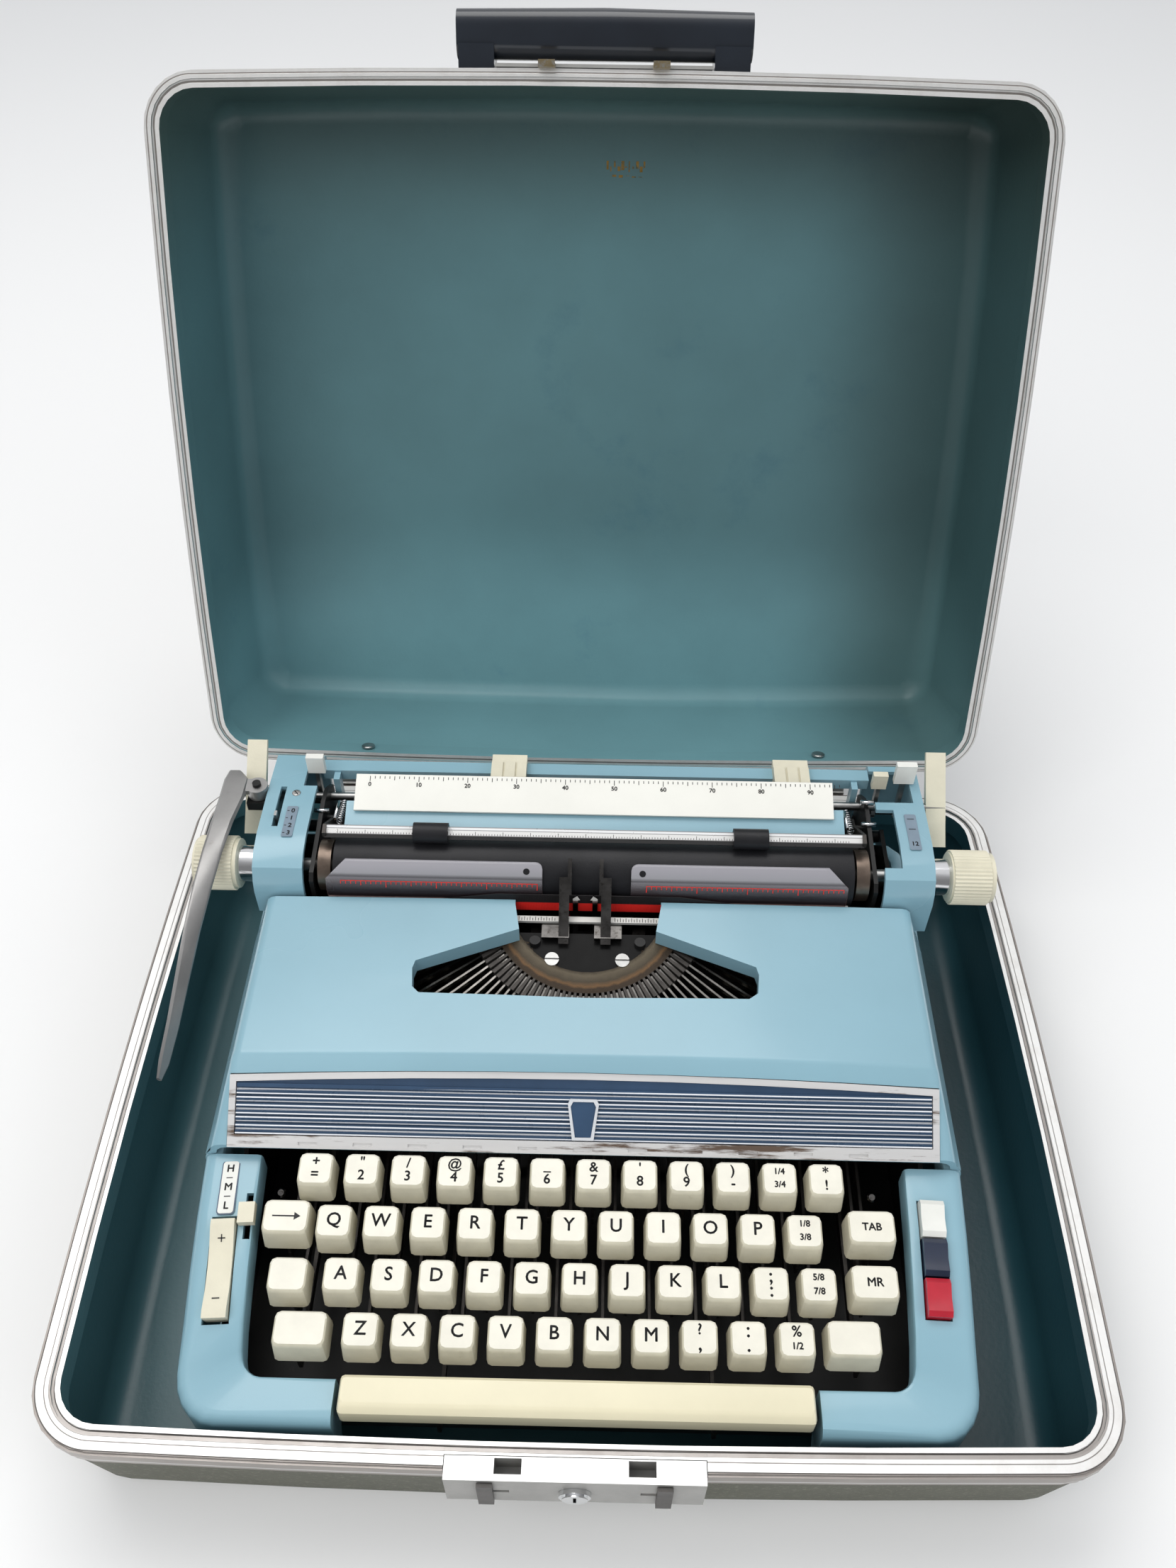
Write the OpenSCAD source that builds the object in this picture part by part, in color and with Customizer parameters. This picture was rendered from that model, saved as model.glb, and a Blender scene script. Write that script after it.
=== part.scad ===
// Portable typewriter standing in the base of its hard carrying case, lid open.
// Origin: centre of the case's underside. X right, Y towards the hinges, Z up. Millimetres.

/* [Case] */
// Width of the case over its rims
case_w = 424; // [416:1:460]
// Depth of the case over its rims
case_d = 343; // [340:1:380]
// How far each side bows outwards at its middle
case_bow = 3.4; // [0:0.2:6]
// Height of the base up to the seam
base_h = 70; // [66:1:90]
// Depth of the lid above the seam
lid_h = 87; // [86:1:110]
// Corner radius over the rims
case_r = 27; // [20:1:40]
// Sheet thickness of base and lid
sheet_t = 1.2; // [0.8:0.1:2]
// Inward draft of the sheet walls
case_draft = 6; // [2:0.5:9]
// Radius where walls turn into the flat panels
pan_r = 12; // [8:1:18]
// Width of the rim seen from above
rim_w = 10.6; // [9:0.1:12]
// Height of the rim
rim_h = 12; // [10:0.5:16]
// Opening angle of the lid from closed
lid_open = 112.4; // [100:0.1:118]
// Seam left between the closed rims
seam_gap = 0.4; // [0.2:0.1:1]
// Distance of each hinge from the middle
hinge_x = 124; // [100:1:150]
// Distance of the hinge axis behind the rims
hinge_back = 6.8; // [6.4:0.1:9]

/* [Machine] */
// Width of the housing over its side walls
body_w = 314; // [310:1:320]
// Front edge of the housing, measured from the middle of the case
body_front = 160; // [158:0.5:161]
// Back edge of the housing, measured from the middle of the case
body_back = 122; // [118:1:132]
// Underside of the machine above the ground
body_z = 24; // [20:1:30]
// Wall thickness of the mouldings
wall = 2.2; // [1.8:0.1:3]
// Half width of the keyboard well
well_half = 132; // [130:0.5:134]
// Front edge of the keyboard well
well_front = 142.5; // [141:0.5:144]
// Half width of the gap in the housing for the space bar
notch_half = 94.5; // [94:0.5:97]
// Width of the top cover at its upper edge
cover_top_w = 298; // [290:1:304]
// Height of the cover's upper surface at its front edge
cover_front_z = 121; // [120:0.5:123]
// Height of the cover's upper surface at its rear edge
cover_rear_z = 124.5; // [123:0.5:125]
// Rise of the cover's surface at its middle, front edge
cover_crown = 4; // [1:0.5:6]

/* [Keyboard] */
// Distance between neighbouring keys
key_pitch = 19.05; // [18.8:0.05:19.2]
// Distance between rows
row_pitch = 19.07; // [18.9:0.01:19.3]
// Rise from one row to the next
row_rise = 6.8; // [6:0.1:7.4]
// Height of the front row's key tops
front_row_z = 82; // [80:0.5:84]
// Distance of the front row from the middle of the case
front_row_y = 128; // [127.5:0.1:128.5]
// Width of a key's top face
key_w = 13.6; // [12.8:0.1:14.2]
// Depth of a key's top face
key_d = 12.8; // [12:0.1:13.2]
// Height of a key cap
key_h = 12; // [10:0.5:12.5]
// Length of the space bar
space_w = 184; // [176:0.5:185]

/* [Type mechanism] */
// Radius of the slotted segment's pivot arc
segment_r = 51; // [50:0.5:52]
// Number of typebars
type_count = 44; // [40:2:44]
// Angle that the fan of typebars spans
fan_angle = 132; // [124:1:134]
// Slope of the segment towards the front
segment_tilt = 14; // [12:0.5:16]
// Radius of the ribbon spools
spool_r = 21; // [19:0.5:22]
// Width of the ribbon
ribbon_w = 12.4; // [11:0.1:12.6]

/* [Carriage] */
// Offset of the carriage to the right of the middle
carriage_x = 2; // [0:0.5:4]
// Height of the platen's axis
platen_z = 127; // [126:0.5:127.5]
// Distance of the platen's axis behind the middle
platen_y = 69.6; // [69.4:0.1:70.5]
// Radius of the platen
platen_r = 14.5; // [14:0.1:14.6]
// Length of the platen's rubber
platen_w = 239; // [232:1:240]
// Radius of the platen knobs
knob_r = 12.8; // [12:0.1:13]
// Half width of the carriage over its end covers
carriage_half = 156.5; // [156:0.5:157]
// Width of an end cover
cover_w = 23; // [22:0.5:24]

/* [Hidden] */
$fn = 48;
fit = 0.05;
gap = 0.3;
clear = 0.6;

// ---------- shared geometry ----------

// Points of an arc, ends included.
function arc(c, r, a0, a1, n) = [for (i = [0:n]) let (a = a0 + (a1 - a0) * i / n) c + r * [cos(a), sin(a)]];

// Rounded rectangle, counter-clockwise, n steps in each corner and m points along each side.
function rounded(w, d, r, n = 5, m = 0) = [
    for (q = [0:3])
        let (
            sx = (q == 0 || q == 3) ? 1 : -1,
            sy = (q < 2) ? 1 : -1,
            c = [sx * (w / 2 - r), sy * (d / 2 - r)],
            q2 = (q + 1) % 4,
            sx2 = (q2 == 0 || q2 == 3) ? 1 : -1,
            sy2 = (q2 < 2) ? 1 : -1,
            c2 = [sx2 * (w / 2 - r), sy2 * (d / 2 - r)],
            corner = arc(c, r, q * 90, q * 90 + 90, n),
            from = corner[n],
            to = c2 + r * [cos(q2 * 90), sin(q2 * 90)]
        )
        each concat(corner, [for (i = [1:1:m]) from + (to - from) * i / (m + 1)])
];

// Pushes the sides of an outline outwards in a shallow bow.
function bowed(pts, w, d, b) = [
    for (p = pts) [
        p.x * (1 + 2 * b / w * max(0, 1 - pow(2 * p.y / d, 2))),
        p.y * (1 + 2 * b / d * max(0, 1 - pow(2 * p.x / w, 2)))
    ]
];

// Plan of the case, drawn in from its outer edge.
function case_plan(inset) =
    let (w = case_w - 2 * inset, d = case_d - 2 * inset)
    bowed(rounded(w, d, max(4, case_r - inset), 6, 4), w, d, case_bow);

function at_z(pts, z) = [for (p = pts) [p.x, p.y, z]];

// Solid through a stack of rings that have the same number of points.
module loft(rings) {
    n = len(rings[0]);
    last = len(rings) - 1;
    sides = [
        for (k = [0:last - 1], i = [0:n - 1])
            let (j = (i + 1) % n)
            each [
                [k * n + i, (k + 1) * n + i, (k + 1) * n + j],
                [k * n + i, (k + 1) * n + j, k * n + j]
            ]
    ];
    bottom = [[for (i = [0:n - 1]) i]];
    top = [[for (i = [n - 1:-1:0]) last * n + i]];
    polyhedron(points = [for (r = rings) each r], faces = concat(bottom, sides, top), convexity = 8);
}

// ---------- case ----------

hinge_y = case_d / 2 + hinge_back;
lid_inset = 3.6;
shell_inset = 1.5;
pan_steps = 4;
lid_seam_z = base_h + seam_gap;

// Rings of a pan that stands on z = 0 and opens upwards at height h.
function pan_rings(h, edge, floor_z, r) = concat(
    [
        for (i = [0:pan_steps])
            let (a = 90 * i / pan_steps)
            at_z(case_plan(edge + case_draft + r * (1 - sin(a))), floor_z + r * (1 - cos(a)))
    ],
    [at_z(case_plan(edge), h)]
);

module pan(h, edge) {
    difference() {
        loft(pan_rings(h, edge, 0, pan_r));
        loft(pan_rings(h + 0.01, edge + sheet_t, sheet_t, pan_r - sheet_t / 2));
    }
}

module ring(z0, z1, inset_out, inset_in) {
    translate([0, 0, z0])
        linear_extrude(z1 - z0)
            difference() {
                polygon(case_plan(inset_out));
                polygon(case_plan(inset_in));
            }
}

// Extruded rim with its seam face up at z = 0: flange, groove, thin bead, groove, crown, inner bead.
bead_h = 1;
bead_w = 2;
rim_cut = 0.04;
module rim_section(edge) {
    ring(-rim_h, -rim_h + 2.2, edge + 0.9, rim_w);
    ring(-rim_h + 2.2, -rim_h + 3.2, edge + 1.9, rim_w);
    ring(-rim_h + 3.2, -rim_h + 5, edge + 0.5, rim_w);
    ring(-rim_h + 5, -rim_h + 6, edge + 1.7, rim_w);
    ring(-rim_h + 6, -bead_h, edge, rim_w);
    ring(-bead_h, 0, edge + 0.9, rim_w - 1.8 * bead_w);
    ring(-bead_h, -bead_h / 4, rim_w - bead_w, rim_w);
}

lock_half = 49.5;
lock_back = case_d / 2 - 2.1;
lock_front = case_d / 2 + 6.5;
lock_low = base_h - 25;
hook_w = 7.4;
hook_x = 25.4;
hook_y = case_d / 2 + 0.6;
hook_t = 1.8;
hook_drop = 8;
latch_x = 34;
latch_w = 6;
lock_wall = 1.6;

module case_base() {
    color([0.42, 0.42, 0.35])
        pan(base_h - rim_h, shell_inset);
}

module case_base_rim() {
    color([0.82, 0.82, 0.8])
        translate([0, 0, base_h])
            difference() {
                rim_section(0);
                translate([-lock_half - gap, -case_d, -rim_h - 1])
                    cube([2 * (lock_half + gap), case_d - lock_back + gap, rim_h + 2]);
                // Saw cuts either side of the lock, where the rim's front length is let in as a piece of its own.
                for (side = [-1, 1])
                    translate([side * (lock_half + gap) - rim_cut / 2, -case_d, -rim_h - 1])
                        cube([rim_cut, case_d, rim_h + 2]);
            }
}

// Moves what is drawn in the closed lid's place to the open position.
module opened() {
    translate([0, hinge_y, base_h])
        rotate([-lid_open, 0, 0])
            translate([0, -hinge_y, -base_h])
                children();
}

// Frame of the lid with its seam face at z = 0 and its panel below.
module lid_place() {
    opened()
        translate([0, 0, lid_seam_z])
            mirror([0, 0, 1])
                children();
}

module case_lid() {
    color([0.42, 0.42, 0.35])
        lid_place()
            translate([0, 0, -lid_h])
                pan(lid_h - rim_h, lid_inset + shell_inset);
}

module case_lid_rim() {
    color([0.82, 0.82, 0.8])
        lid_place()
            rim_section(lid_inset);
}

// Hinges: each has two outer knuckles on the base and one on the lid, round a fixed pin.
knuckle_r = 2.6;
pin_r = 1.3;
hinge_w = 30;
leaf_t = 1.2;
leaf_h = 15;
leaf_y = case_d / 2 + case_bow - 0.8;
lid_leaf_y = leaf_y - lid_inset + 0.1;
web_h = 1.8;

module knuckle(x0, x1, bore) {
    translate([x0, hinge_y, base_h])
        rotate([0, 90, 0])
            difference() {
                cylinder(r = knuckle_r, h = x1 - x0);
                translate([0, 0, -1])
                    cylinder(r = bore, h = x1 - x0 + 2);
            }
}

module hinge_web(x0, x1, y0, z0) {
    translate([x0, y0, z0])
        cube([x1 - x0, hinge_y - knuckle_r + 0.8 - y0, web_h]);
}

module case_hinge_base() {
    third = hinge_w / 3;
    color([0.7, 0.7, 0.68])
        for (side = [-1, 1])
            translate([side * hinge_x - hinge_w / 2, 0, 0]) {
                difference() {
                    union() {
                        translate([0, leaf_y, base_h - leaf_h - 0.6])
                            cube([hinge_w, leaf_t, leaf_h]);
                        for (x = [0, 2 * third])
                            hinge_web(x, x + third, leaf_y, base_h - web_h - 0.1);
                    }
                    translate([-1, hinge_y, base_h])
                        rotate([0, 90, 0])
                            cylinder(r = knuckle_r - 0.2, h = hinge_w + 2);
                }
                for (x = [0, 2 * third])
                    knuckle(x, x + third, pin_r);
                translate([0, hinge_y, base_h])
                    rotate([0, 90, 0])
                        cylinder(r = pin_r, h = hinge_w);
            }
}

module case_hinge_lid() {
    third = hinge_w / 3;
    lid_leaf_z = lid_seam_z + 2.2;
    color([0.7, 0.7, 0.68])
        opened()
            for (side = [-1, 1])
                translate([side * hinge_x - hinge_w / 2, 0, 0]) {
                    difference() {
                        union() {
                            translate([0, lid_leaf_y, lid_leaf_z])
                                cube([hinge_w, leaf_t, leaf_h]);
                            translate([third + gap, lid_leaf_y, base_h + 0.2])
                                cube([third - 2 * gap, leaf_t, lid_leaf_z - base_h]);
                            hinge_web(third + gap, 2 * third - gap, lid_leaf_y, base_h + 0.1);
                        }
                        translate([-1, hinge_y, base_h])
                            rotate([0, 90, 0])
                                cylinder(r = knuckle_r - 0.2, h = hinge_w + 2);
                    }
                    knuckle(third + gap, 2 * third - gap, pin_r + fit);
                }
}

// Carrying handle: a rounded grip between two feet on the lid's front.
grip_half = 66;
foot_w = 16;
grip_y0 = case_d / 2 + 3.5;
grip_t = 21;
grip_z = lid_seam_z + 15;
grip_h = 19;
grip_r = 7;
foot_back = case_d / 2 + case_bow - lid_inset + gap;
module case_handle() {
    color([0.13, 0.16, 0.22])
        opened() {
            hull()
                for (x = [-grip_half, 0, grip_half], s = [-1, 1], t = [0, 1])
                    translate([x, -grip_y0 - grip_r - t * (grip_t - 2 * grip_r - (x == 0 ? 0 : 1)), grip_z + s * (grip_h / 2 - grip_r)])
                        rotate([0, 90, 0])
                            cylinder(r = grip_r, h = 0.6, center = true, $fn = 24);
            for (side = [-1, 1])
                translate([side * (grip_half - foot_w / 2 - 0.6) - foot_w / 2, -grip_y0 - 6, grip_z - 10.5])
                    cube([foot_w, grip_y0 + 6 - foot_back + 2 * gap, 17.5]);
        }
}

plate_t = 1.4;
hasp_half = 48.6;
module hasp_plate() {
    color([0.6, 0.6, 0.58])
        opened() {
            translate([-hasp_half, -foot_back - plate_t, lid_seam_z + 0.3])
                cube([2 * hasp_half, plate_t, 20]);
            for (side = [-1, 1])
                translate([side * hook_x - hook_w / 2, -hook_y - hook_t / 2, base_h - hook_drop]) {
                    cube([hook_w, hook_t, hook_drop + 4]);
                    translate([0, -1.2, 0])
                        cube([hook_w, 1.3, 2]);
                }
        }
}

// Lock plate: a pressed box on the base's front with two hook slots, two latches and a key cylinder.
cyl_r = 6.2;
cyl_z = base_h - 13;
slot_y0 = hook_y - hook_t / 2 - 1.2;
slot_y1 = hook_y + hook_t / 2 + 2.6;
latch_slot = 12;
module lock_plate() {
    color([0.66, 0.66, 0.64])
        difference() {
            union() {
                translate([-lock_half, -lock_front, base_h - rim_h + 0.2])
                    cube([2 * lock_half, lock_front - lock_back, rim_h - 0.2]);
                translate([-lock_half, -lock_front, lock_low])
                    cube([2 * lock_half, lock_front - case_d / 2 - case_bow + 0.6, base_h - lock_low - 4]);
            }
            for (side = [-1, 1]) {
                translate([side * hook_x - hook_w / 2 - 1.5, -slot_y1, base_h - hook_drop - 3])
                    cube([hook_w + 3, slot_y1 - slot_y0, hook_drop + 4]);
                translate([side * latch_x + (side < 0 ? -latch_w / 2 : latch_w / 2 - latch_slot), -lock_front - 1, cyl_z - 1.5])
                    cube([latch_slot, 4, 3]);
            }
            translate([0, -lock_front - 1, cyl_z])
                rotate([-90, 0, 0])
                    cylinder(r = cyl_r + fit, h = 1 + lock_wall);
        }
}

module latch(side) {
    color([0.2, 0.19, 0.18]) {
        translate([side * latch_x - latch_w / 2, -lock_front - gap - 1.6, lock_low + 1])
            cube([latch_w, 1.6, base_h - lock_low - 3]);
        translate([side * latch_x - 1.2, -lock_front - gap - 0.1, cyl_z - 1.2])
            cube([2.4, 2.6, 2.4]);
    }
}

module latch_left() {
    latch(-1);
}

module latch_right() {
    latch(1);
}

module lock_cylinder() {
    color([0.55, 0.54, 0.5])
        translate([0, -lock_front, cyl_z])
            rotate([90, 0, 0])
                difference() {
                    union() {
                        translate([0, 0, -lock_wall + gap])
                            cylinder(r = cyl_r, h = lock_wall - gap + 1.8);
                        translate([0, 0, 1.7])
                            cylinder(r = cyl_r - 1.2, h = 1);
                    }
                    translate([-0.6, -3, 1.2])
                        cube([1.2, 6, 3]);
                }
}

// ---------- machine frame ----------

side_x = body_w / 2 - 12;
side_t = 2;
fulcrum_y = 20;
fulcrum_z = 76;
fulcrum_r = 2;
cross_z = 90;
cross_y = 30;
rail_r = 3;
rail_z = 104;
rail_front_y = platen_y + 14;
rail_rear_y = platen_y + 44;
pan_z = body_z + 0.6;
foot_r = 8;
space_shaft_y = -25;
space_shaft_z = 44;
shift_shaft_y = 4;
shift_shaft_z = 44;
shift_shaft_r = 2.5;
post_x = 24;
post_y = 36;
post_r = 2.5;
basket_drop = 6;

module cross_bar(y, z, d, h) {
    translate([-side_x, y, z])
        cube([2 * side_x, d, h]);
}

module shaft(y, z, r) {
    translate([-side_x - side_t / 2, y, z])
        rotate([0, 90, 0])
            cylinder(r = r, h = 2 * side_x + side_t, $fn = 32);
}

module side_plate() {
    rotate([90, 0, 90])
        linear_extrude(side_t)
            polygon([
                [-body_front + 14, pan_z], [body_back - 9, pan_z], [body_back - 9, rail_z + 6],
                [platen_y + 2, rail_z + 6], [platen_y - 8, rail_z - 6], [fulcrum_y - 30, rail_z - 6],
                [-50, fulcrum_z + 8], [-62, fulcrum_z], [-body_front + 14, pan_z + 30]
            ]);
}

module chassis() {
    color([0.16, 0.15, 0.14]) {
        difference() {
            union() {
                for (side = [-1, 1])
                    translate([side * side_x - side_t / 2, 0, 0])
                        side_plate();
                cross_bar(-body_front + 14, pan_z, body_front + body_back - 23, 1.6);
                cross_bar(-body_front + 14, pan_z, 6, 7);
                cross_bar(body_back - 15, pan_z, 6, rail_z - 6 - pan_z);
                cross_bar(cross_y, cross_z, 20, 6);
                shaft(fulcrum_y, fulcrum_z, fulcrum_r);
                shaft(space_shaft_y, space_shaft_z, fulcrum_r);
                shaft(rail_front_y, rail_z, rail_r);
                shaft(rail_rear_y, rail_z, rail_r);
                for (side = [-1, 1])
                    translate([side * post_x, post_y, cross_z + 5])
                        cylinder(r = post_r, h = 22);
                for (side = [-1, 1], y = [-body_front + 30, body_back - 30])
                    translate([side * (side_x - 18), y, sheet_t])
                        cylinder(r = foot_r, h = pan_z - sheet_t);
                for (side = [-1, 1])
                    translate([side * (notch_half + 4), -body_front + 20, pan_z])
                        cylinder(r = 3, h = 18);
            }
            shaft_hole(shift_shaft_y, shift_shaft_z, shift_shaft_r);
        }
    }
}

module shaft_hole(y, z, r) {
    translate([-side_x - 5, y, z])
        rotate([0, 90, 0])
            cylinder(r = r + fit, h = 2 * side_x + 10);
}

// ---------- housing ----------

// Height of the surround's upper face at distance y from the middle of the case.
surround_curve = [
    [-body_front, 71], [-150, 72.8], [-143, 75.5], [-126, 82], [-106, 86.6], [-86, 90],
    [-60, 92], [-59.8, 90.6], [body_back, 90.6]
];
function surround_z(y) = lookup(y, surround_curve);

// Closed section of the surround between its outer point o and its inner point i.
function surround_section(o, i, z, low) =
    let (
        d = (i - o) / norm(i - o),
        w = norm(i - o),
        round_r = min(6, w / 3),
        lip = 2,
        drop = 12,
        outer = [for (a = [0:30:90]) [round_r * (1 - cos(a)), z - round_r * (1 - sin(a))]],
        inner = [for (a = [90:-45:0]) [w - lip * (1 - cos(a)), z - lip * (1 - sin(a))]],
        prof = concat(
            [[0, low]],
            outer,
            inner,
            [[w, z - drop], [w - wall, z - drop], [w - wall, z - wall - 1]],
            [[round_r, z - wall - 1], [wall, z - round_r], [wall, low]]
        )
    )
    [for (p = prof) [o.x + d.x * p.x, o.y + d.y * p.x, p.y]];

side_flare = 3;
corner_out = 17;
corner_in = 8;
rear_r = 14;
flange_w = 8;
surround_low = body_z + 4;

// How far the sides stand out beyond their front ends at y.
function flare(y) = side_flare * max(0, min(1, (y + 126) / 66));

// Left half of the housing's plan as pairs of outer and inner points, from the space-bar gap to the rear middle.
function surround_path() =
    let (
        bw = body_w / 2,
        co = [-bw + corner_out, -body_front + corner_out],
        ci = [-well_half + corner_in, -well_front + corner_in],
        cr = [-bw - side_flare + rear_r, body_back - rear_r]
    )
    concat(
        [[[-notch_half, -body_front], [-notch_half, -well_front]]],
        [
            for (i = [0:5])
                let (a = 270 - 18 * i)
                [co + corner_out * [cos(a), sin(a)], ci + corner_in * [cos(a), sin(a)]]
        ],
        [for (y = [-126, -106, -86, -60]) [[-bw - flare(y), y], [-well_half - flare(y), y]]],
        [
            for (y = [-59.8, body_back - rear_r])
                [[-bw - side_flare, y], [-bw - side_flare + flange_w, y]]
        ],
        [
            for (i = [1:3])
                let (a = 180 - 30 * i)
                [cr + rear_r * [cos(a), sin(a)], cr + (rear_r - flange_w) * [cos(a), sin(a)]]
        ],
        [[[0, body_back], [0, body_back - flange_w]]]
    );

function mirrored_path(path) = [
    for (i = [len(path) - 2:-1:0]) [[-path[i][0].x, path[i][0].y], [-path[i][1].x, path[i][1].y]]
];

rocker_x = -144.3;
rocker_y = -107;
rocker_len = 38;
rocker_w = 9.6;
rocker_skew = 3.6;
slider_x = -136.5;
slider_y = -86;
slider_travel = 7;
ribbon_key_x = 143;
ribbon_key_y = -97;
ribbon_key_len = 14.6;
ribbon_key_w = 9.6;
ribbon_key_skew = -2.1;
ribbon_slot = 3 * ribbon_key_len + 3;
recess = 12;

module tilted_at(x, y, skew) {
    slope = atan((surround_z(y + 15) - surround_z(y - 15)) / 30);
    translate([x, y, surround_z(y)])
        rotate([0, 0, skew])
            rotate([slope, 0, 0])
                children();
}

module body_shell() {
    path = surround_path();
    full = concat(path, mirrored_path(path));
    rings = [for (s = full) surround_section(s[0], s[1], surround_z(s[0].y), surround_low)];
    color([0.58, 0.75, 0.81])
        difference() {
            loft(rings);
            tilted_at(rocker_x, rocker_y, rocker_skew)
                translate([-rocker_w / 2 - clear, -rocker_len / 2 - 3 * clear, -recess])
                    cube([rocker_w + 2 * clear, rocker_len + 6 * clear, 2 * recess]);
            tilted_at(ribbon_key_x, ribbon_key_y, ribbon_key_skew)
                translate([-ribbon_key_w / 2 - clear, -ribbon_slot / 2, -recess])
                    cube([ribbon_key_w + 2 * clear, ribbon_slot, 2 * recess]);
            tilted_at(slider_x, slider_y, rocker_skew)
                translate([-1.4, -slider_travel - 2.4, -recess])
                    cube([2.8, 2 * slider_travel + 4.8, 2 * recess]);
        }
}

// ---------- top cover ----------

cover_low = 91;
cover_front = 59.6;
cover_rear = 52.4;
visor_y = -29;
panel_low_z = 99;
panel_low_y = -59.4;
cover_low_half = body_w / 2 + side_flare - 0.6;

// Half-section of the cover's outside at y, moved in by off.
function cover_section(y, off) =
    let (
        t = max(0, min(1, (y - visor_y) / (cover_rear - visor_y))),
        top = (y < visor_y)
            ? panel_low_z + (cover_front_z - panel_low_z) * (y + cover_front + 0.4) / (visor_y + cover_front + 0.4)
            : cover_front_z + (cover_rear_z - cover_front_z) * t,
        crown = (y < visor_y) ? cover_crown * max(0, (y + cover_front) / (visor_y + cover_front)) : cover_crown * (1 - 0.75 * t),
        h = max(0.1, (top - cover_low) / (cover_rear_z - cover_low)),
        half = cover_low_half - (cover_low_half - cover_top_w / 2) * min(1, h),
        r = 5,
        edge = [for (a = [0:30:90]) [half - off - r * (1 - cos(a)) , top - off - r * (1 - sin(a))]],
        flat = [for (k = [0.75, 0.5, 0.25]) [half * k, top - off + crown * (1 - k * k)]]
    )
    concat(
        [[cover_low_half - off, cover_low - (off > 0 ? 1 : 0)]],
        edge,
        flat
    );

function cover_ring(y, off) =
    let (
        right = cover_section(y, off),
        t = max(0, min(1, (y - visor_y) / (cover_rear - visor_y))),
        n = len(right)
    )
    concat(
        [for (p = right) [p.x, y, p.y]],
        [for (i = [n - 1:-1:0]) [-right[i].x, y, right[i].y]]
    );

opening_front = 1.4;
module opening_outline() {
    polygon([
        [-33.5, cover_rear + 5], [-33.5, cover_rear - 2], [-31, 36], [-76, 18], [-77, 14], [-76, opening_front + 3],
        [-73, opening_front], [0, opening_front - 1.5], [71, opening_front], [75, opening_front + 3],
        [76, 14], [75, 18], [31, 36], [33.5, cover_rear - 2], [33.5, cover_rear + 5]
    ]);
}

ear_h = 6;
collar_end = 38.5;
module top_cover() {
    ys = [cover_rear - 2, 30, 10, -10, visor_y + 2, visor_y - 0.6, -40, -50];
    color([0.62, 0.79, 0.85])
        difference() {
            loft([for (y = concat([cover_rear], ys, [-cover_front])) cover_ring(y, 0)]);
            difference() {
                loft([for (y = concat([cover_rear + 0.5], ys, [-cover_front - 0.5])) cover_ring(y, wall)]);
                translate([0, 0, cover_rear_z - ear_h - 2])
                    linear_extrude(ear_h + 12)
                        intersection() {
                            offset(delta = wall)
                                opening_outline();
                            translate([-100, -10])
                                square([200, collar_end + 10]);
                        }
            }
            translate([0, 0, cover_low])
                linear_extrude(60)
                    opening_outline();
            panel_place()
                translate([0, 0, -20])
                    linear_extrude(40)
                        panel_area(0);
        }
}

// ---------- front panel ----------

panel_half = 149;
panel_len = 33;
panel_arch = 3.6;
panel_angle = atan((cover_front_z - panel_low_z) / (visor_y - 1.5 + cover_front));
bezel_w = 3;
rib_count = 8;
rib_pitch = 2.75;
rib_h = 0.8;

// Frame of the front panel: X along it, Y up its slope, Z out of it.
module panel_place() {
    translate([0, panel_low_y, panel_low_z])
        rotate([panel_angle, 0, 0])
            children();
}

// Outline of the panel with its arched upper edge, grown by g.
module panel_area(g) {
    half = panel_half + g;
    polygon(concat(
        [[-half, -1 - g], [half, -1 - g]],
        [for (k = [1:-0.25:-1]) [half * k, panel_len - panel_arch * k * k + g]]
    ));
}

lip_w = 5.5;
tray_t = 1.4;
badge_w = 13;
badge_h = 17;

module front_bezel() {
    color([0.86, 0.87, 0.88])
        panel_place() {
            translate([0, 0, -2 * tray_t])
                linear_extrude(tray_t)
                    panel_area(-gap);
            difference() {
                translate([0, 0, -1.5 * tray_t])
                    linear_extrude(1.5 * tray_t + 1)
                        panel_area(-gap);
                translate([0, 0, -tray_t])
                    linear_extrude(3 * tray_t)
                        intersection() {
                            panel_area(-bezel_w);
                            translate([-panel_half, lip_w - 1])
                                square([2 * panel_half, panel_len]);
                        }
                for (i = [-5:5])
                    translate([i * 23 - 4, 0.6, 0])
                        cube([8, 1.4, 3]);
            }
        }
}

module front_panel() {
    y0 = lip_w - 1 + 0.2;
    color([0.14, 0.24, 0.36])
        panel_place()
            difference() {
                union() {
                    translate([0, 0, -tray_t])
                        linear_extrude(tray_t - 0.4)
                            intersection() {
                                panel_area(-bezel_w - 0.2);
                                translate([-panel_half, y0])
                                    square([2 * panel_half, panel_len]);
                            }
                    for (i = [0:rib_count - 1])
                        translate([-panel_half + bezel_w + 0.4, y0 + 0.2 + i * rib_pitch, -tray_t / 2])
                            cube([2 * (panel_half - bezel_w) - 0.8, rib_pitch * 0.6, tray_t / 2 + rib_h]);
                    translate([0, y0 + badge_h / 2 + 0.4, -tray_t / 2])
                        linear_extrude(tray_t / 2 + 1.6)
                            badge(0);
                }
                translate([0, y0 + badge_h / 2 + 0.4, 1])
                    linear_extrude(2)
                        badge(1.2);
            }
}

module badge(inner) {
    top = badge_w / 2 - inner;
    low = badge_w / 2 - 2 - inner;
    polygon([
        [-low, -badge_h / 2 + inner], [low, -badge_h / 2 + inner], [top, badge_h / 2 - 2 - inner],
        [top - 1, badge_h / 2 - inner], [1 - top, badge_h / 2 - inner], [-top, badge_h / 2 - 2 - inner]
    ]);
}

// ---------- type mechanism ----------

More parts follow.
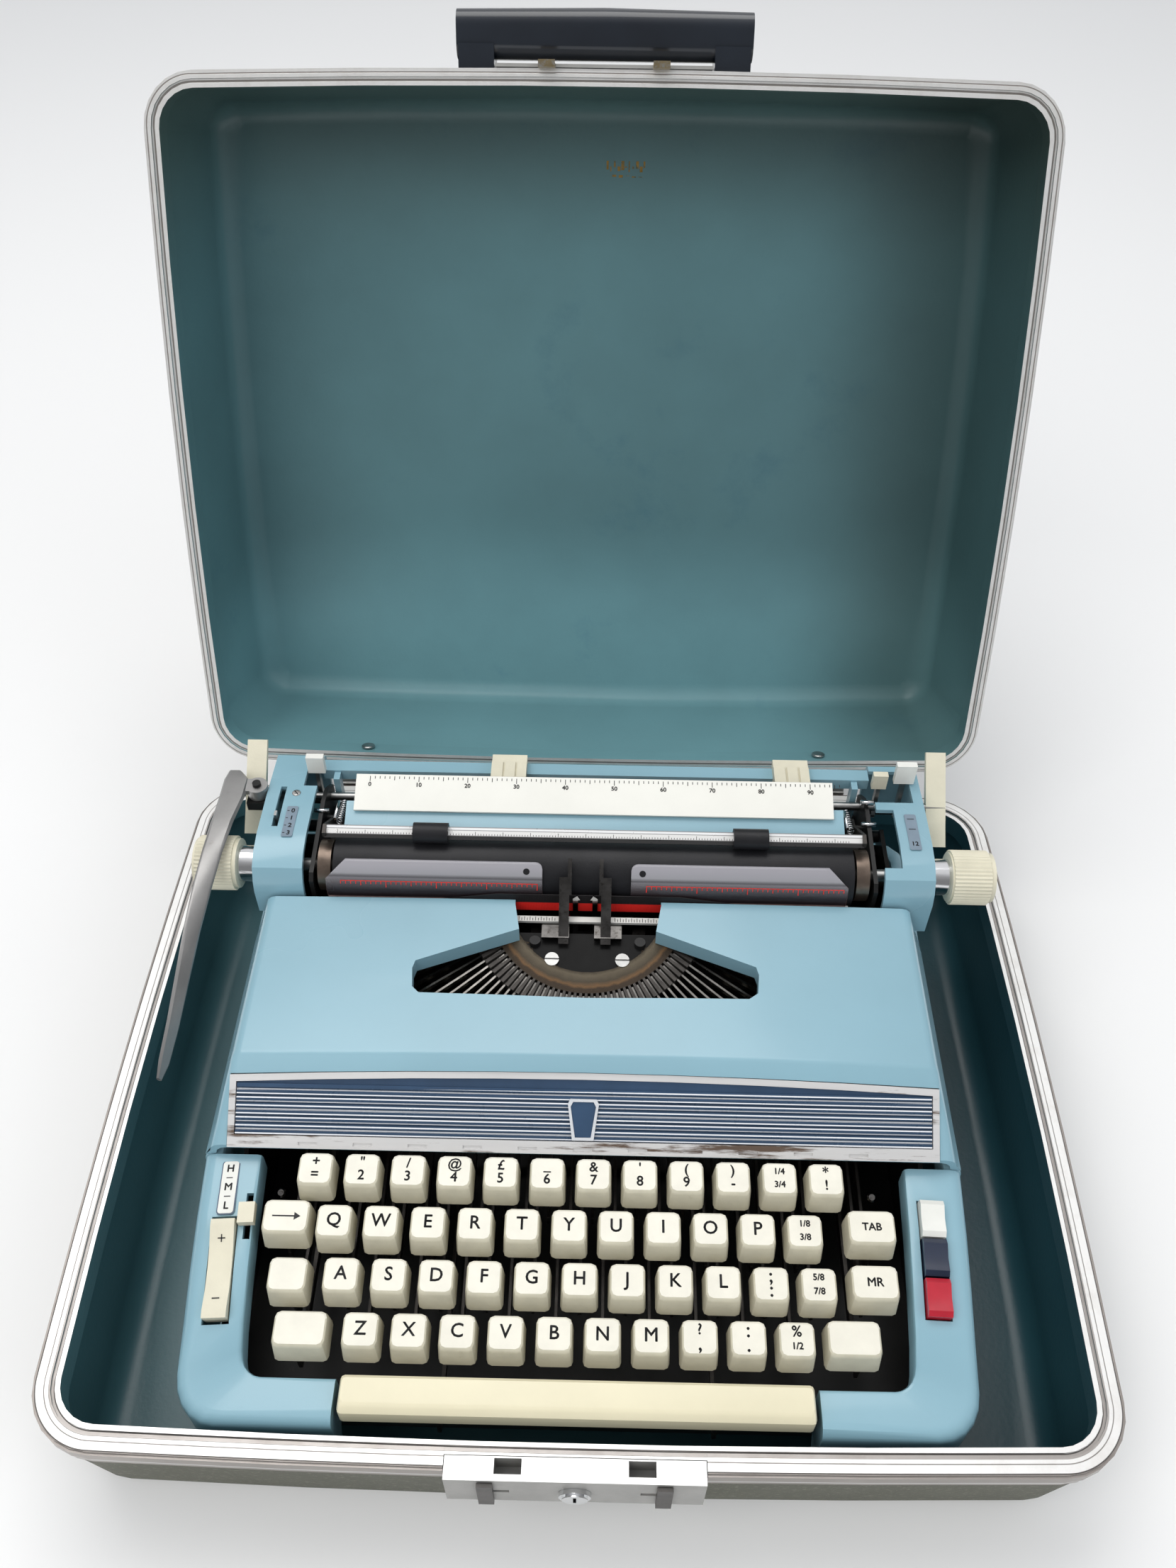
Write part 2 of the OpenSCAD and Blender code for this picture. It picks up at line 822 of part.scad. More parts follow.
segment_y = 57;
segment_z = 121;
segment_in = segment_r - 15;
segment_out = segment_r + 5;
segment_t = 7;
segment_plate_t = 3;
slot_w = 1.3;
bar_t = 0.9;
bar_h = 3.5;
bar_len = 55;
bar_start = 47;
bar_slope = 9;

// Frame of the type segment: its arc is centred on the origin, the open side to the front.
module segment_place() {
    translate([0, segment_y, segment_z])
        rotate([segment_tilt, 0, 0])
            children();
}

module sector(r0, r1, half) {
    polygon(concat(arc([0, 0], r1, 270 - half, 270 + half, 36), arc([0, 0], r0, 270 + half, 270 - half, 36)));
}

module fan() {
    for (i = [0:type_count - 1])
        rotate([0, 0, 270 - fan_angle / 2 + i * fan_angle / (type_count - 1)])
            children();
}

module segment() {
    color([0.2, 0.15, 0.11])
        difference() {
            segment_place()
                difference() {
                    union() {
                        translate([0, 0, -segment_t])
                            linear_extrude(segment_t)
                                sector(segment_in, segment_out, fan_angle / 2 + 4);
                        translate([0, 0, -segment_plate_t])
                            linear_extrude(segment_plate_t - 1)
                                intersection() {
                                    circle(r = segment_in + 0.5);
                                    translate([-segment_in, -segment_in - 1])
                                        square([2 * segment_in, 20]);
                                }
                        for (side = [-1, 1])
                            translate([side * 16, -30, -2])
                                cylinder(r = 3.2, h = 2.4, $fn = 24);
                    }
                    fan()
                        translate([bar_start - 1, -slot_w / 2, -segment_t - 1])
                            cube([segment_out - bar_start + 3, slot_w, segment_t + 2]);
                    for (side = [-1, 1])
                        translate([side * 16 - 3.4, -30.4, -0.4])
                            cube([6.8, 0.8, 2]);
                }
            for (side = [-1, 1])
                translate([side * post_x, post_y, 0])
                    cylinder(r = post_r + fit, h = 200);
        }
}

module typebars() {
    color([0.5, 0.48, 0.45])
        segment_place()
            fan()
                translate([bar_start, 0, -1.2])
                    rotate([0, bar_slope, 0]) {
                        translate([0, -bar_t / 2, -bar_h])
                            cube([bar_len, bar_t, bar_h]);
                        translate([bar_len - 3.4, -bar_t, -bar_h])
                            cube([3.4, 2 * bar_t, bar_h + 1.6]);
                    }
}

vib_y = 51.6;
vib_t = 0.8;
vib_half = 5.7;
vib_low = 98;
vib_high = 130;
vib_travel = 5.5;

module ribbon_vibrator() {
    color([0.6, 0.58, 0.55])
        translate([-1.4, vib_y, 0])
            rotate([90, 0, 0])
                translate([0, 0, -vib_t])
                    linear_extrude(vib_t)
                        difference() {
                            polygon([
                                [-vib_half, vib_low], [vib_half, vib_low], [vib_half, vib_high - 2],
                                [vib_half - 2, vib_high], [vib_half - 3.4, vib_high - 3], [-vib_half + 3.4, vib_high - 3],
                                [-vib_half + 2, vib_high], [-vib_half, vib_high - 2]
                            ]);
                            translate([-vib_half + 2.4, vib_low + 5])
                                square([2 * vib_half - 4.8, 24]);
                        }
}

finger_profile = [[35, 116], [52.0, 130.4], [56.2, 138], [63, 143.2]];
finger_t = 0.9;
finger_x = 9.6;
finger_w = 4.6;
prong_w = 1.8;
strip_z = 119.2;
strip_half = 62;
guide_y = 50.4;

// One strip of a card finger, w wide about x, along its profile from point i to point j.
module finger_part(x, w, i, j) {
    translate([x - w / 2, 0, 0])
        rotate([90, 0, 90])
            linear_extrude(w)
                polygon(concat(
                    [for (k = [i:j]) finger_profile[k]],
                    [for (k = [j:-1:i]) finger_profile[k] + [-finger_t, finger_t * 1.2]]
                ));
}

module card_fingers() {
    color([0.25, 0.24, 0.23]) {
        for (side = [-1, 1]) {
            finger_part(side * finger_x - 1.4, finger_w, 0, 2);
            finger_part(side * (finger_x - 2.4) - 1.4, prong_w, 1, 3);
        }
        for (x = [-21, 3])
            translate([x, 36, strip_z - 1.8])
                cube([12.5, 9, 1.8]);
        translate([-strip_half, 44, strip_z])
            cube([2 * strip_half, 3, 1.4]);
        for (side = [-1, 1]) {
            translate([side * (strip_half - 2) - 2, 44, cross_z + 6])
                cube([4, 3, strip_z - cross_z - 5.5]);
        }
        for (side = [-1, 1]) {
            translate([side * 24 - 11, guide_y + 1.2, 99])
                cube([22, 0.9, 8]);
            translate([side * 24 - 3, guide_y - 2.4, cross_z + 6])
                cube([6, 4.5, 6]);
        }
        for (side = [-1, 1])
            translate([side * (vib_half + 3) - 2, guide_y - 2.4, cross_z + 6])
                cube([2.4, 4.8, 20]);
    }
}

spool_x = 108;
spool_y = 31;
spool_z = 106.8;
spool_h = 14;

module spool() {
    difference() {
        union() {
            cylinder(r = spool_r, h = 1);
            translate([0, 0, spool_h - 1])
                cylinder(r = spool_r, h = 1);
            cylinder(r = spool_r * 0.72, h = spool_h - 0.5);
            cylinder(r = 4, h = spool_h);
        }
        translate([0, 0, -1])
            cylinder(r = 2 + fit, h = spool_h + 2);
        for (a = [0, 120, 240])
            rotate([0, 0, a])
                translate([spool_r * 0.45, 0, spool_h - 2])
                    cylinder(r = 3, h = 4, $fn = 20);
    }
}

module ribbon_spool_left() {
    color([0.3, 0.3, 0.31])
        translate([-spool_x, spool_y, spool_z])
            spool();
}

module ribbon_spool_right() {
    color([0.3, 0.3, 0.31])
        translate([spool_x, spool_y, spool_z])
            spool();
}

ribbon_y = 52.85;
ribbon_t = 0.4;
ribbon_z = spool_z + 1.2;
ribbon_turn = 96;
ribbon_level = 42;
ribbon_rise = 9.4;

// Section of the ribbon at x.
function ribbon_section(x, y, z) =
    let (top = z + min(ribbon_w, spool_h - 2.6), back = y + ribbon_t)
    [[x, y, z], [x, back, z], [x, back, top], [x, y, top]];

module ribbon() {
    spool_end = [spool_x + 3, spool_y + spool_r * 0.72 + gap];
    color([0.5, 0.08, 0.07])
        loft([
            ribbon_section(-spool_end.x, spool_end.y, ribbon_z),
            ribbon_section(-ribbon_turn, ribbon_y, ribbon_z),
            ribbon_section(-ribbon_level, ribbon_y, ribbon_z + ribbon_rise),
            ribbon_section(ribbon_level, ribbon_y, ribbon_z + ribbon_rise),
            ribbon_section(ribbon_turn, ribbon_y, ribbon_z),
            ribbon_section(spool_end.x, spool_end.y, ribbon_z)
        ]);
}

// ---------- keyboard ----------

key_start = 99.97;
key_tilt = 6;
key_flare = 0.8;
key_front = 3;
key_back = 0.5;
lever_t = 1.2;
lever_h = 6;
lever_front_z = 62;
lever_rise = 8 / 148;
hub_r = 5;
row_first = [-0.5, 0, 0.25, 0.75];
row_count = [12, 11, 11, 10];

function row_y(row) = -front_row_y + (4 - row) * row_pitch;
function row_z(row) = front_row_z + (4 - row) * row_rise;
function lever_z(y) = lever_front_z + (y + front_row_y) * lever_rise;

// Key cap with its top face centred on the origin.
module cap(w, d, h) {
    rotate([key_tilt, 0, 0])
        loft([
            at_z([for (p = rounded(w + 2 * key_flare, d + key_front + key_back, 2.2, 2)) p + [0, (key_back - key_front) / 2]], -h),
            at_z([for (p = rounded(w + 0.8, d + 1.2, 2.4, 2)) p + [0, -0.2]], -1.8),
            at_z(rounded(w + 0.2, d + 0.3, 2.4, 2), -0.5),
            at_z(rounded(w - 1, d - 1, 2.2, 2), 0)
        ]);
}

// Stem and lever of one key, from its cap back to the fulcrum.
module key_lever(x, y, z) {
    translate([x - lever_t / 2, y - 3, lever_z(y) - lever_h / 2])
        cube([lever_t, 6, z - key_h + 2 - lever_z(y) + lever_h / 2]);
    translate([x - lever_t / 2, y - 3, lever_z(y) - lever_h / 2])
        rotate([atan(lever_rise), 0, 0])
            cube([lever_t, fulcrum_y - y + 3, lever_h]);
    translate([x - lever_t / 2, fulcrum_y, fulcrum_z])
        rotate([0, 90, 0])
            cylinder(r = hub_r, h = lever_t, $fn = 24);
}

module fulcrum_bore() {
    translate([-side_x, fulcrum_y, fulcrum_z])
        rotate([0, 90, 0])
            cylinder(r = fulcrum_r + fit, h = 2 * side_x, $fn = 32);
}

module key_row(row) {
    color([0.93, 0.9, 0.8])
        difference() {
            for (i = [0:row_count[row - 1] - 1]) {
                x = -key_start + (row_first[row - 1] + i) * key_pitch;
                translate([x, row_y(row), row_z(row)])
                    cap(key_w, key_d, key_h);
                key_lever(x, row_y(row), row_z(row));
            }
            fulcrum_bore();
        }
}

module keys_row_1() {
    key_row(1);
}

module keys_row_2() {
    key_row(2);
}

module keys_row_3() {
    key_row(3);
}

module keys_row_4() {
    key_row(4);
}

module single_key(x, y, z, w, lever_x) {
    color([0.93, 0.9, 0.8])
        difference() {
            union() {
                translate([x, y, z])
                    cap(w, key_d, key_h);
                key_lever(lever_x, y, z);
            }
            fulcrum_bore();
        }
}

module backspace_key() {
    single_key(-119.7, row_y(2) + 1.6, row_z(2), 18.2, -122);
}

module tab_key() {
    single_key(117.8, row_y(2) + 2.4, row_z(2), 18.5, 120);
}

module margin_release_key() {
    single_key(117.8, row_y(3) + 1.6, row_z(3), 18.2, 116);
}

shift_x = 113;
shift_arm_t = 1.6;
shift_low = 50;
shift_w = 20.4;
shift_hub = 6;
lock_pin_y = -60;
lock_pin_z = 53;
lock_pin_r = 1.5;
lock_x = -117;

module shift_arm(x, y, z) {
    translate([x - shift_arm_t / 2, y - 4, shift_low])
        cube([shift_arm_t, 8, z - key_h + 2 - shift_low]);
    translate([x - shift_arm_t / 2, y - 4, shift_low])
        cube([shift_arm_t, shift_shaft_y - y + 4 + shift_hub, lever_h]);
    translate([x - shift_arm_t / 2, shift_shaft_y - shift_hub, shift_shaft_z])
        cube([shift_arm_t, 2 * shift_hub, lever_h + 1]);
    translate([x - shift_arm_t / 2, shift_shaft_y, shift_shaft_z])
        rotate([0, 90, 0])
            cylinder(r = shift_hub, h = shift_arm_t, $fn = 32);
}

module left_shift_key() {
    y = row_y(4);
    z = row_z(4);
    color([0.93, 0.9, 0.8]) {
        translate([-109.6, y, z])
            cap(shift_w, key_d, key_h);
        shift_arm(-shift_x, y, z);
        translate([-side_x - 2, shift_shaft_y, shift_shaft_z])
            rotate([0, 90, 0])
                cylinder(r = shift_shaft_r, h = 2 * side_x + 4, $fn = 32);
        translate([lock_x - 1.2, lock_pin_y, lock_pin_z])
            rotate([0, 90, 0])
                cylinder(r = lock_pin_r, h = -shift_x - lock_x + 1.2, $fn = 24);
    }
}

module right_shift_key() {
    y = row_y(4) + 1;
    z = row_z(4);
    color([0.93, 0.9, 0.8])
        difference() {
            union() {
                translate([108.4, y, z])
                    cap(shift_w, key_d, key_h);
                shift_arm(shift_x, y, z);
            }
            shaft_hole(shift_shaft_y, shift_shaft_z, shift_shaft_r);
        }
}

module shift_lock_key() {
    y = row_y(3) - 0.4;
    z = row_z(3);
    color([0.93, 0.9, 0.8])
        difference() {
            union() {
                translate([-116.5, y, z])
                    cap(15, key_d, key_h);
                translate([lock_x - lever_t / 2, y - 3, shift_low])
                    cube([lever_t, 6, z - key_h + 2 - shift_low]);
                translate([lock_x - lever_t / 2, y - 3, shift_low])
                    cube([lever_t, lock_pin_y - y + 3, lever_h]);
                translate([lock_x - lever_t / 2, lock_pin_y, lock_pin_z])
                    rotate([0, 90, 0])
                        cylinder(r = 4, h = lever_t, $fn = 32);
            }
            translate([lock_x - 2, lock_pin_y, lock_pin_z])
                rotate([0, 90, 0])
                    cylinder(r = lock_pin_r + fit, h = 4, $fn = 24);
        }
}

space_arm_x = 54.7;
space_back = -142.8;
space_front = -156.8;
space_z = 77;
space_t = 8;

module space_bar() {
    d = space_back - space_front;
    mid = (space_back + space_front) / 2;
    color([0.94, 0.92, 0.78])
        difference() {
            union() {
                loft([
                    at_z([for (p = rounded(space_w, d, 1.6, 2)) p + [0, mid]], space_z - space_t - 4),
                    at_z([for (p = rounded(space_w, d, 1.6, 2)) p + [0, mid]], space_z - 3),
                    at_z([for (p = rounded(space_w - 0.8, d - 2, 1.6, 2)) p + [0, mid + 0.6]], space_z - 0.8),
                    at_z([for (p = rounded(space_w - 2, d - 5, 1.4, 2)) p + [0, mid + 1]], space_z)
                ]);
                for (side = [-1, 1]) {
                    translate([side * space_arm_x - 0.8, mid - 4, space_shaft_z])
                        cube([1.6, 8, space_z - space_t - 2 - space_shaft_z]);
                    translate([side * space_arm_x - 0.8, mid - 4, space_shaft_z])
                        cube([1.6, space_shaft_y - mid + 4, 5]);
                    translate([side * space_arm_x - 0.8, space_shaft_y, space_shaft_z])
                        rotate([0, 90, 0])
                            cylinder(r = 5, h = 1.6, $fn = 24);
                }
            }
            translate([-space_arm_x - 3, space_shaft_y, space_shaft_z])
                rotate([0, 90, 0])
                    cylinder(r = fulcrum_r + fit, h = 2 * space_arm_x + 6, $fn = 32);
        }
}

// ---------- controls beside the keys ----------

module touch_slider() {
    color([0.93, 0.9, 0.8])
        tilted_at(slider_x, slider_y, rocker_skew) {
            translate([-3.2, -4.2, 0.4])
                cube([6.6, 8.4, 4.4]);
            translate([-0.9, -1.8, -5.9])
                cube([1.8, 3.6, 6.7]);
            translate([-1.8, -2.2, -5.9])
                cube([2.7, 4.4, 1.4]);
        }
}

module tab_rocker() {
    color([0.9, 0.88, 0.8])
        tilted_at(rocker_x, rocker_y, rocker_skew) {
            translate([-rocker_w / 2 - 1.2, 0, -5])
                rotate([0, 90, 0])
                    cylinder(r = 1.2, h = rocker_w + 2.4);
            translate([-rocker_w / 2, 0, 0])
                rotate([90, 0, 90])
                    linear_extrude(rocker_w)
                        polygon([
                            [-rocker_len / 2, -6], [-3, -8], [3, -8], [rocker_len / 2, -6],
                            [rocker_len / 2, 3.6], [rocker_len / 2 - 3, 3.8], [8, 1.6], [0, 1],
                            [-8, 1.6], [-rocker_len / 2 + 3, 3.8], [-rocker_len / 2, 3.6]
                        ]);
        }
}

module ribbon_key(i) {
    tilted_at(ribbon_key_x, ribbon_key_y, ribbon_key_skew)
        translate([-ribbon_key_w / 2, i * (ribbon_key_len + 0.8) - ribbon_key_len / 2, 0])
            rotate([90, 0, 90])
                linear_extrude(ribbon_key_w)
                    polygon([
                        [0, -7], [ribbon_key_len, -7], [ribbon_key_len, 3], [ribbon_key_len - 2, 4.4],
                        [ribbon_key_len / 2, 3.4], [2, 4.4], [0, 3]
                    ]);
}

module ribbon_key_white() {
    color([0.9, 0.9, 0.86])
        ribbon_key(1);
}

module ribbon_key_black() {
    color([0.1, 0.12, 0.18])
        ribbon_key(0);
}

module ribbon_key_red() {
    color([0.7, 0.12, 0.15])
        ribbon_key(-1);
}

// ---------- carriage ----------

end_x = carriage_half - cover_w - 3.5;
end_t = 2;
shaft_r = 3;
pivot_r = 1.5;
bail_pivot = [98, 128];
lever_pivot = [117, 119];
release_pivot = [112, 128];
release_r = 2;
beam_z = 111.2;
block_half = 24;
return_pivot = [-carriage_half - 5, 104];
return_z = 137.4;

// A cylinder along X between x0 and x1, at [y, z].
module rod(at, r, x0, x1, n = 32) {
    translate([x0, at.x, at.y])
        rotate([0, 90, 0])
            cylinder(r = r, h = x1 - x0, $fn = n);
}

// Extrudes a profile drawn in Y and Z from x0 to x1.
module along_x(x0, x1) {
    translate([x0, 0, 0])
        rotate([90, 0, 90])
            linear_extrude(x1 - x0)
                children();
}

module on_carriage() {
    translate([carriage_x, 0, 0])
        children();
}

module rail_block(y) {
    translate([-block_half, y - 4.4, rail_z - 5])
        cube([2 * block_half, 8.8, beam_z + 1 - rail_z + 5]);
}

module carriage_frame() {
    color([0.13, 0.12, 0.12])
        difference() {
            on_carriage() {
                rail_block(rail_front_y);
                rail_block(rail_rear_y);
                translate([-end_x, rail_front_y - 4, beam_z])
                    cube([2 * end_x, rail_rear_y - rail_front_y + 9, 2.6]);
                translate([-end_x, platen_y - 12.6, beam_z])
                    cube([2 * end_x, 3, 3.2]);
                for (side = [-1, 1])
                    difference() {
                        along_x(side * end_x - end_t / 2, side * end_x + end_t / 2)
                            polygon([
                                [57, beam_z], [119, beam_z], [119, 129], [110, 136], [100, 138], [60, 133], [57, 130]
                            ]);
                        rod([platen_y, platen_z], shaft_r + fit, side * end_x - 3, side * end_x + 3);
                        rod(release_pivot, release_r + fit, side * end_x - 3, side * end_x + 3);
                    }
                rod(bail_pivot, pivot_r, end_x - 6, end_x);
                rod(bail_pivot, pivot_r, -end_x, -end_x + 6);
                rod([lever_pivot.x, lever_pivot.y], pivot_r, end_x, carriage_half - wall - gap);
                rod([lever_pivot.x, lever_pivot.y], pivot_r, -carriage_half + wall + gap, -end_x);
            }
            for (y = [rail_front_y, rail_rear_y])
                rod([y, rail_z], rail_r + fit, -block_half - 10, block_half + 10);
        }
}

cover_profile = [
    [54, 112], [60, 111.4], [132, 111.4], [132.4, 118], [131, 136], [128.6, 139],
    [100, 141.4], [76, 142], [66, 140.6], [59, 137], [55.6, 131], [54, 125]
];
cover_mid = [93, 122];

function inner_profile(t) = [
    for (p = cover_profile)
        [cover_mid.x + (p.x - cover_mid.x) * (1 - t / 39), min(cover_mid.y + (p.y - cover_mid.y) * (1 - t / 19), 200)]
];

module end_cover(low) {
    difference() {
        union() {
            along_x(carriage_half - cover_w, carriage_half)
                polygon(cover_profile);
            along_x(carriage_half - cover_w, carriage_half)
                polygon([[54, 118], [54, low], [56, low - 0.6], [58.4, 112], [58.4, 118]]);
        }
        along_x(carriage_half - cover_w - 1, carriage_half - wall)
            polygon(inner_profile(wall));
        along_x(carriage_half - cover_w - 1, carriage_half - wall)
            translate([60, beam_z - 2])
                square([68, 8]);
        rod([platen_y, platen_z], shaft_r + clear, carriage_half - wall - 1, carriage_half + 1);
        rod(release_pivot, release_r + clear, carriage_half - wall - 1, carriage_half + 1);
    }
}

module carriage_cover_left() {
    color([0.6, 0.77, 0.83])
        on_carriage()
            difference() {
                union() {
                    mirror([1, 0, 0])
                        end_cover(111);
                    translate([-carriage_half - 10, return_pivot.y - 6, return_z - 5])
                        cube([10.4, 10.5, 5]);
                    translate([return_pivot.x, return_pivot.y, return_z - 1])
                        cylinder(r = 2, h = 9, $fn = 32);
                }
                translate([-carriage_half + 6, 80, 130])
                    cube([2.8, 26, 20]);
                translate([-end_x - 10, 107, 122])
                    cube([9.4, 18, 30]);
            }
}

module carriage_cover_right() {
    color([0.6, 0.77, 0.83])
        on_carriage()
            difference() {
                end_cover(105.5);
                translate([end_x + 2, 103, 122])
                    cube([cover_w - wall - 1, 22, 30]);
                translate([carriage_half - cover_w - 1, 64, 130])
                    cube([9, 34, 20]);
            }
}

rail_back = [120, 127, 132, 138];

module carriage_rear_rail() {
    color([0.55, 0.72, 0.78])
        on_carriage() {
            translate([-carriage_half + cover_w + gap, rail_back[0], rail_back[2]])
                cube([2 * (carriage_half - cover_w - gap), rail_back[1] - rail_back[0], rail_back[3] - rail_back[2]]);
            for (side = [-1, 1])
                translate([side * (end_x - 4) - 1.5, 115, beam_z + 2.6])
                    cube([3, 5.4, rail_back[3] - beam_z - 3.6]);
        }
}

stop_w = 17;

module margin_stop(x) {
    difference() {
        union() {
            translate([x - stop_w / 2, rail_back[0] - 2, rail_back[2] - 2])
                cube([stop_w, 11, 12]);
            translate([x - stop_w / 2, 113.4, 139.4])
                cube([stop_w, 10, 3.6]);
        }
        translate([x - stop_w, rail_back[0] - fit, rail_back[2] - fit])
            cube([2 * stop_w, rail_back[1] - rail_back[0] + 2 * fit, rail_back[3] - rail_back[2] + 2 * fit]);
        translate([x - 3, 112, 142])
            cube([1, 20, 3]);
        translate([x + 3, 112, 142])
            cube([1, 20, 3]);
    }
}

module margin_stop_left() {
    color([0.88, 0.87, 0.78])
        margin_stop(-40);
}

module margin_stop_right() {
    color([0.88, 0.87, 0.78])
        margin_stop(97);
}

module scale_plate() {
    color([0.93, 0.93, 0.9])
        on_carriage() {
            along_x(-113, 112)
                polygon([[89, 143.6], [106, 150.1], [105.6, 151.3], [88.6, 144.8]]);
            for (side = [-1, 1])
                translate([side * 108 - 1, 97, beam_z + 2.6])
                    cube([2, 3, 33.4]);
        }
}

module paper_deflector() {
    color([0.55, 0.72, 0.78])
        on_carriage() {
            along_x(-117, 117)
                polygon([[82, 138.6], [95, 143], [94.6, 144.4], [81.6, 140]]);
            for (side = [-1, 1])
                translate([side * 114 - 1, 88, beam_z + 2.6])
                    cube([2, 3, 27.4]);
        }
}

module platen() {
    color([0.07, 0.07, 0.08])
        on_carriage() {
            rod([platen_y, platen_z], platen_r, -platen_w / 2, platen_w / 2, 64);
            for (side = [-1, 1])
                rod([platen_y, platen_z], platen_r - 2.5, side * 124 - 3, side * 124 + 3, 48);
            rod([platen_y, platen_z], shaft_r, -carriage_half - 20, carriage_half + 20);
        }
}

collar_r = 8.5;
knob_len = 20;
knob_ribs = 44;

module knob(side) {
    x0 = carriage_half + 0.6;
    difference() {
        union() {
            rod([platen_y, platen_z], collar_r, side < 0 ? -x0 - 8 : x0, side < 0 ? -x0 : x0 + 8, 40);
            rod([platen_y, platen_z], knob_r - 1.2, side < 0 ? -x0 - 8 - knob_len : x0 + 8, side < 0 ? -x0 - 8 : x0 + 8 + knob_len, 48);
            translate([side < 0 ? -x0 - 8.8 - knob_len + 2 : x0 + 8.8, platen_y, platen_z])
                rotate([0, 90, 0])
                    linear_extrude(knob_len - 3)
                        polygon([
                            for (i = [0:2 * knob_ribs - 1])
                                (knob_r - (i % 2) * 0.5) * [cos(180 * i / knob_ribs), sin(180 * i / knob_ribs)]
                        ]);
        }
        rod([platen_y, platen_z], shaft_r + fit, -x0 - 9.4, x0 + 9.4);
        rod([platen_y, platen_z], shaft_r + fit, -carriage_half - 21, carriage_half + 21);
    }
}

module platen_knobs() {
    color([0.9, 0.88, 0.78])
        on_carriage()
            for (side = [-1, 1])
                knob(side);
}

bail_at = [74, 146.2];
bail_half = 124;
bail_h = 6;

module paper_bail() {
    d = bail_at - bail_pivot;
    color([0.8, 0.81, 0.82])
        on_carriage() {
            difference() {
                for (side = [-1, 1])
                    along_x(side * bail_half - 0.8, side * bail_half + 0.8)
                        polygon([
                            bail_pivot + [3, 3], bail_pivot + [-2, 4], bail_at + [2, 2.6], bail_at + [-2.6, 1.6],
                            bail_at + [-2.4, -1.6], bail_pivot + [-4, -2], bail_pivot + [2, -4]
                        ]);
                rod(bail_pivot, pivot_r + fit, -bail_half - 3, bail_half + 3);
            }
            translate([-bail_half, bail_at.x, bail_at.y])
                rotate([34, 0, 0])
                    translate([0, -bail_h / 2, -0.6])
                        cube([2 * bail_half, bail_h, 1.2]);
        }
}

module bail_rollers() {
    color([0.08, 0.08, 0.1])
        on_carriage()
            for (x = [-75, 72])
                difference() {
                    rod(bail_at, 4.8, x - 8, x + 8, 32);
                    rod(bail_at, bail_h / 2 + 0.2, x - 9, x + 9, 32);
                }
}

module shield_arc(r0, r1, a0, a1) {
    c = [platen_y, platen_z];
    polygon(concat(arc(c, r1, a0, a1, 10), arc(c, r0, a1, a0, 10)));
}

module card_plates() {
    r = platen_r + 0.7;
    color([0.75, 0.75, 0.76])
        difference() {
            for (x = [[-108, -21], [20, 110]])
                along_x(x[0], x[1])
                    shield_arc(r, r + 0.8, 118, 196);
            for (x = [-35, 34])
                translate([x, platen_y, platen_z])
                    rotate([-38, 0, 0])
                        translate([0, 0, 10])
                            cylinder(r = 1.2, h = 10, $fn = 20);
        }
}

module line_scale() {
    r = platen_r + 0.7;
    color([0.6, 0.6, 0.6])
        on_carriage()
            along_x(-118, 118)
                shield_arc(r, r + 0.8, 197.4, 229.4);
}

function lever_ring(x, y, z, w, t, lean) = [
    for (p = [[-w / 2, 0], [-w / 2 + t / 2, -t / 2], [w / 2 - t / 2, -t / 2], [w / 2, 0], [w / 2 - t / 2, t / 2], [-w / 2 + t / 2, t / 2]])
        [x + p.x * cos(lean) - p.y * sin(lean), y, z + p.x * sin(lean) + p.y * cos(lean)]
];

module return_lever() {
    color([0.7, 0.7, 0.7])
        on_carriage()
            difference() {
                union() {
                    loft([
                        lever_ring(-174, 114, return_z + 5, 6, 1.6, 0),
                        lever_ring(-172, 108, return_z + 5.6, 12, 2, 0),
                        lever_ring(-172, 96, return_z + 6, 12, 2.2, 0),
                        lever_ring(-173, 80, return_z + 7, 10, 2.4, -4),
                        lever_ring(-174, 62, return_z + 6.6, 9, 2.4, -10),
                        lever_ring(-175.4, 44, return_z + 3, 8.4, 2.4, -24),
                        lever_ring(-177, 26, return_z - 3, 8, 2.4, -40),
                        lever_ring(-178.8, 6, return_z - 12, 7.6, 2.2, -50),
                        lever_ring(-181, -12, return_z - 22, 7, 2, -54),
                        lever_ring(-183.4, -26, return_z - 30, 6, 2, -56),
                        lever_ring(-185, -32, return_z - 34, 3, 1.4, -58)
                    ]);
                    translate([return_pivot.x, return_pivot.y, return_z + gap])
                        cylinder(r = 5, h = 6, $fn = 32);
                    translate([-170, return_pivot.y - 4, return_z + 4])
                        cube([8, 8, 2.3]);
                }
                translate([return_pivot.x, return_pivot.y, return_z - 1])
                    cylinder(r = 2 + fit, h = 12, $fn = 32);
            }
}

module line_space_selector() {
    color([0.75, 0.75, 0.75])
        on_carriage() {
            translate([-carriage_half + 6.8, 84, 128])
                cube([1.2, 3, 17]);
            translate([-carriage_half + 4, 82, 128])
                cube([6.8, 8, 3]);
        }
}

// Lever with a flat key at its upper end, turning on a pin at p.
module keyed_lever(x, p, top, w, h) {
    difference() {
        union() {
            rod(p, 3, x - 1, x + 1, 28);
            translate([x - 1, p.x - 1.5, p.y])
                cube([2, 3, top - h / 2 - p.y]);
            translate([x - w / 2, p.x - 1.6, top - h])
                cube([w, 3.2, h]);
        }
        rod(p, pivot_r + fit, x - 2, x + 2, 32);
    }
}

module ratchet_lever() {
    color([0.92, 0.92, 0.88])
        on_carriage()
            keyed_lever(-end_x - 5, lever_pivot, 151, 8.4, 10.4);
}

module page_gauge_lever() {
    color([0.92, 0.92, 0.88])
        on_carriage()
            keyed_lever(carriage_half - wall - 5.5, lever_pivot, 153, 9.6, 12);
}

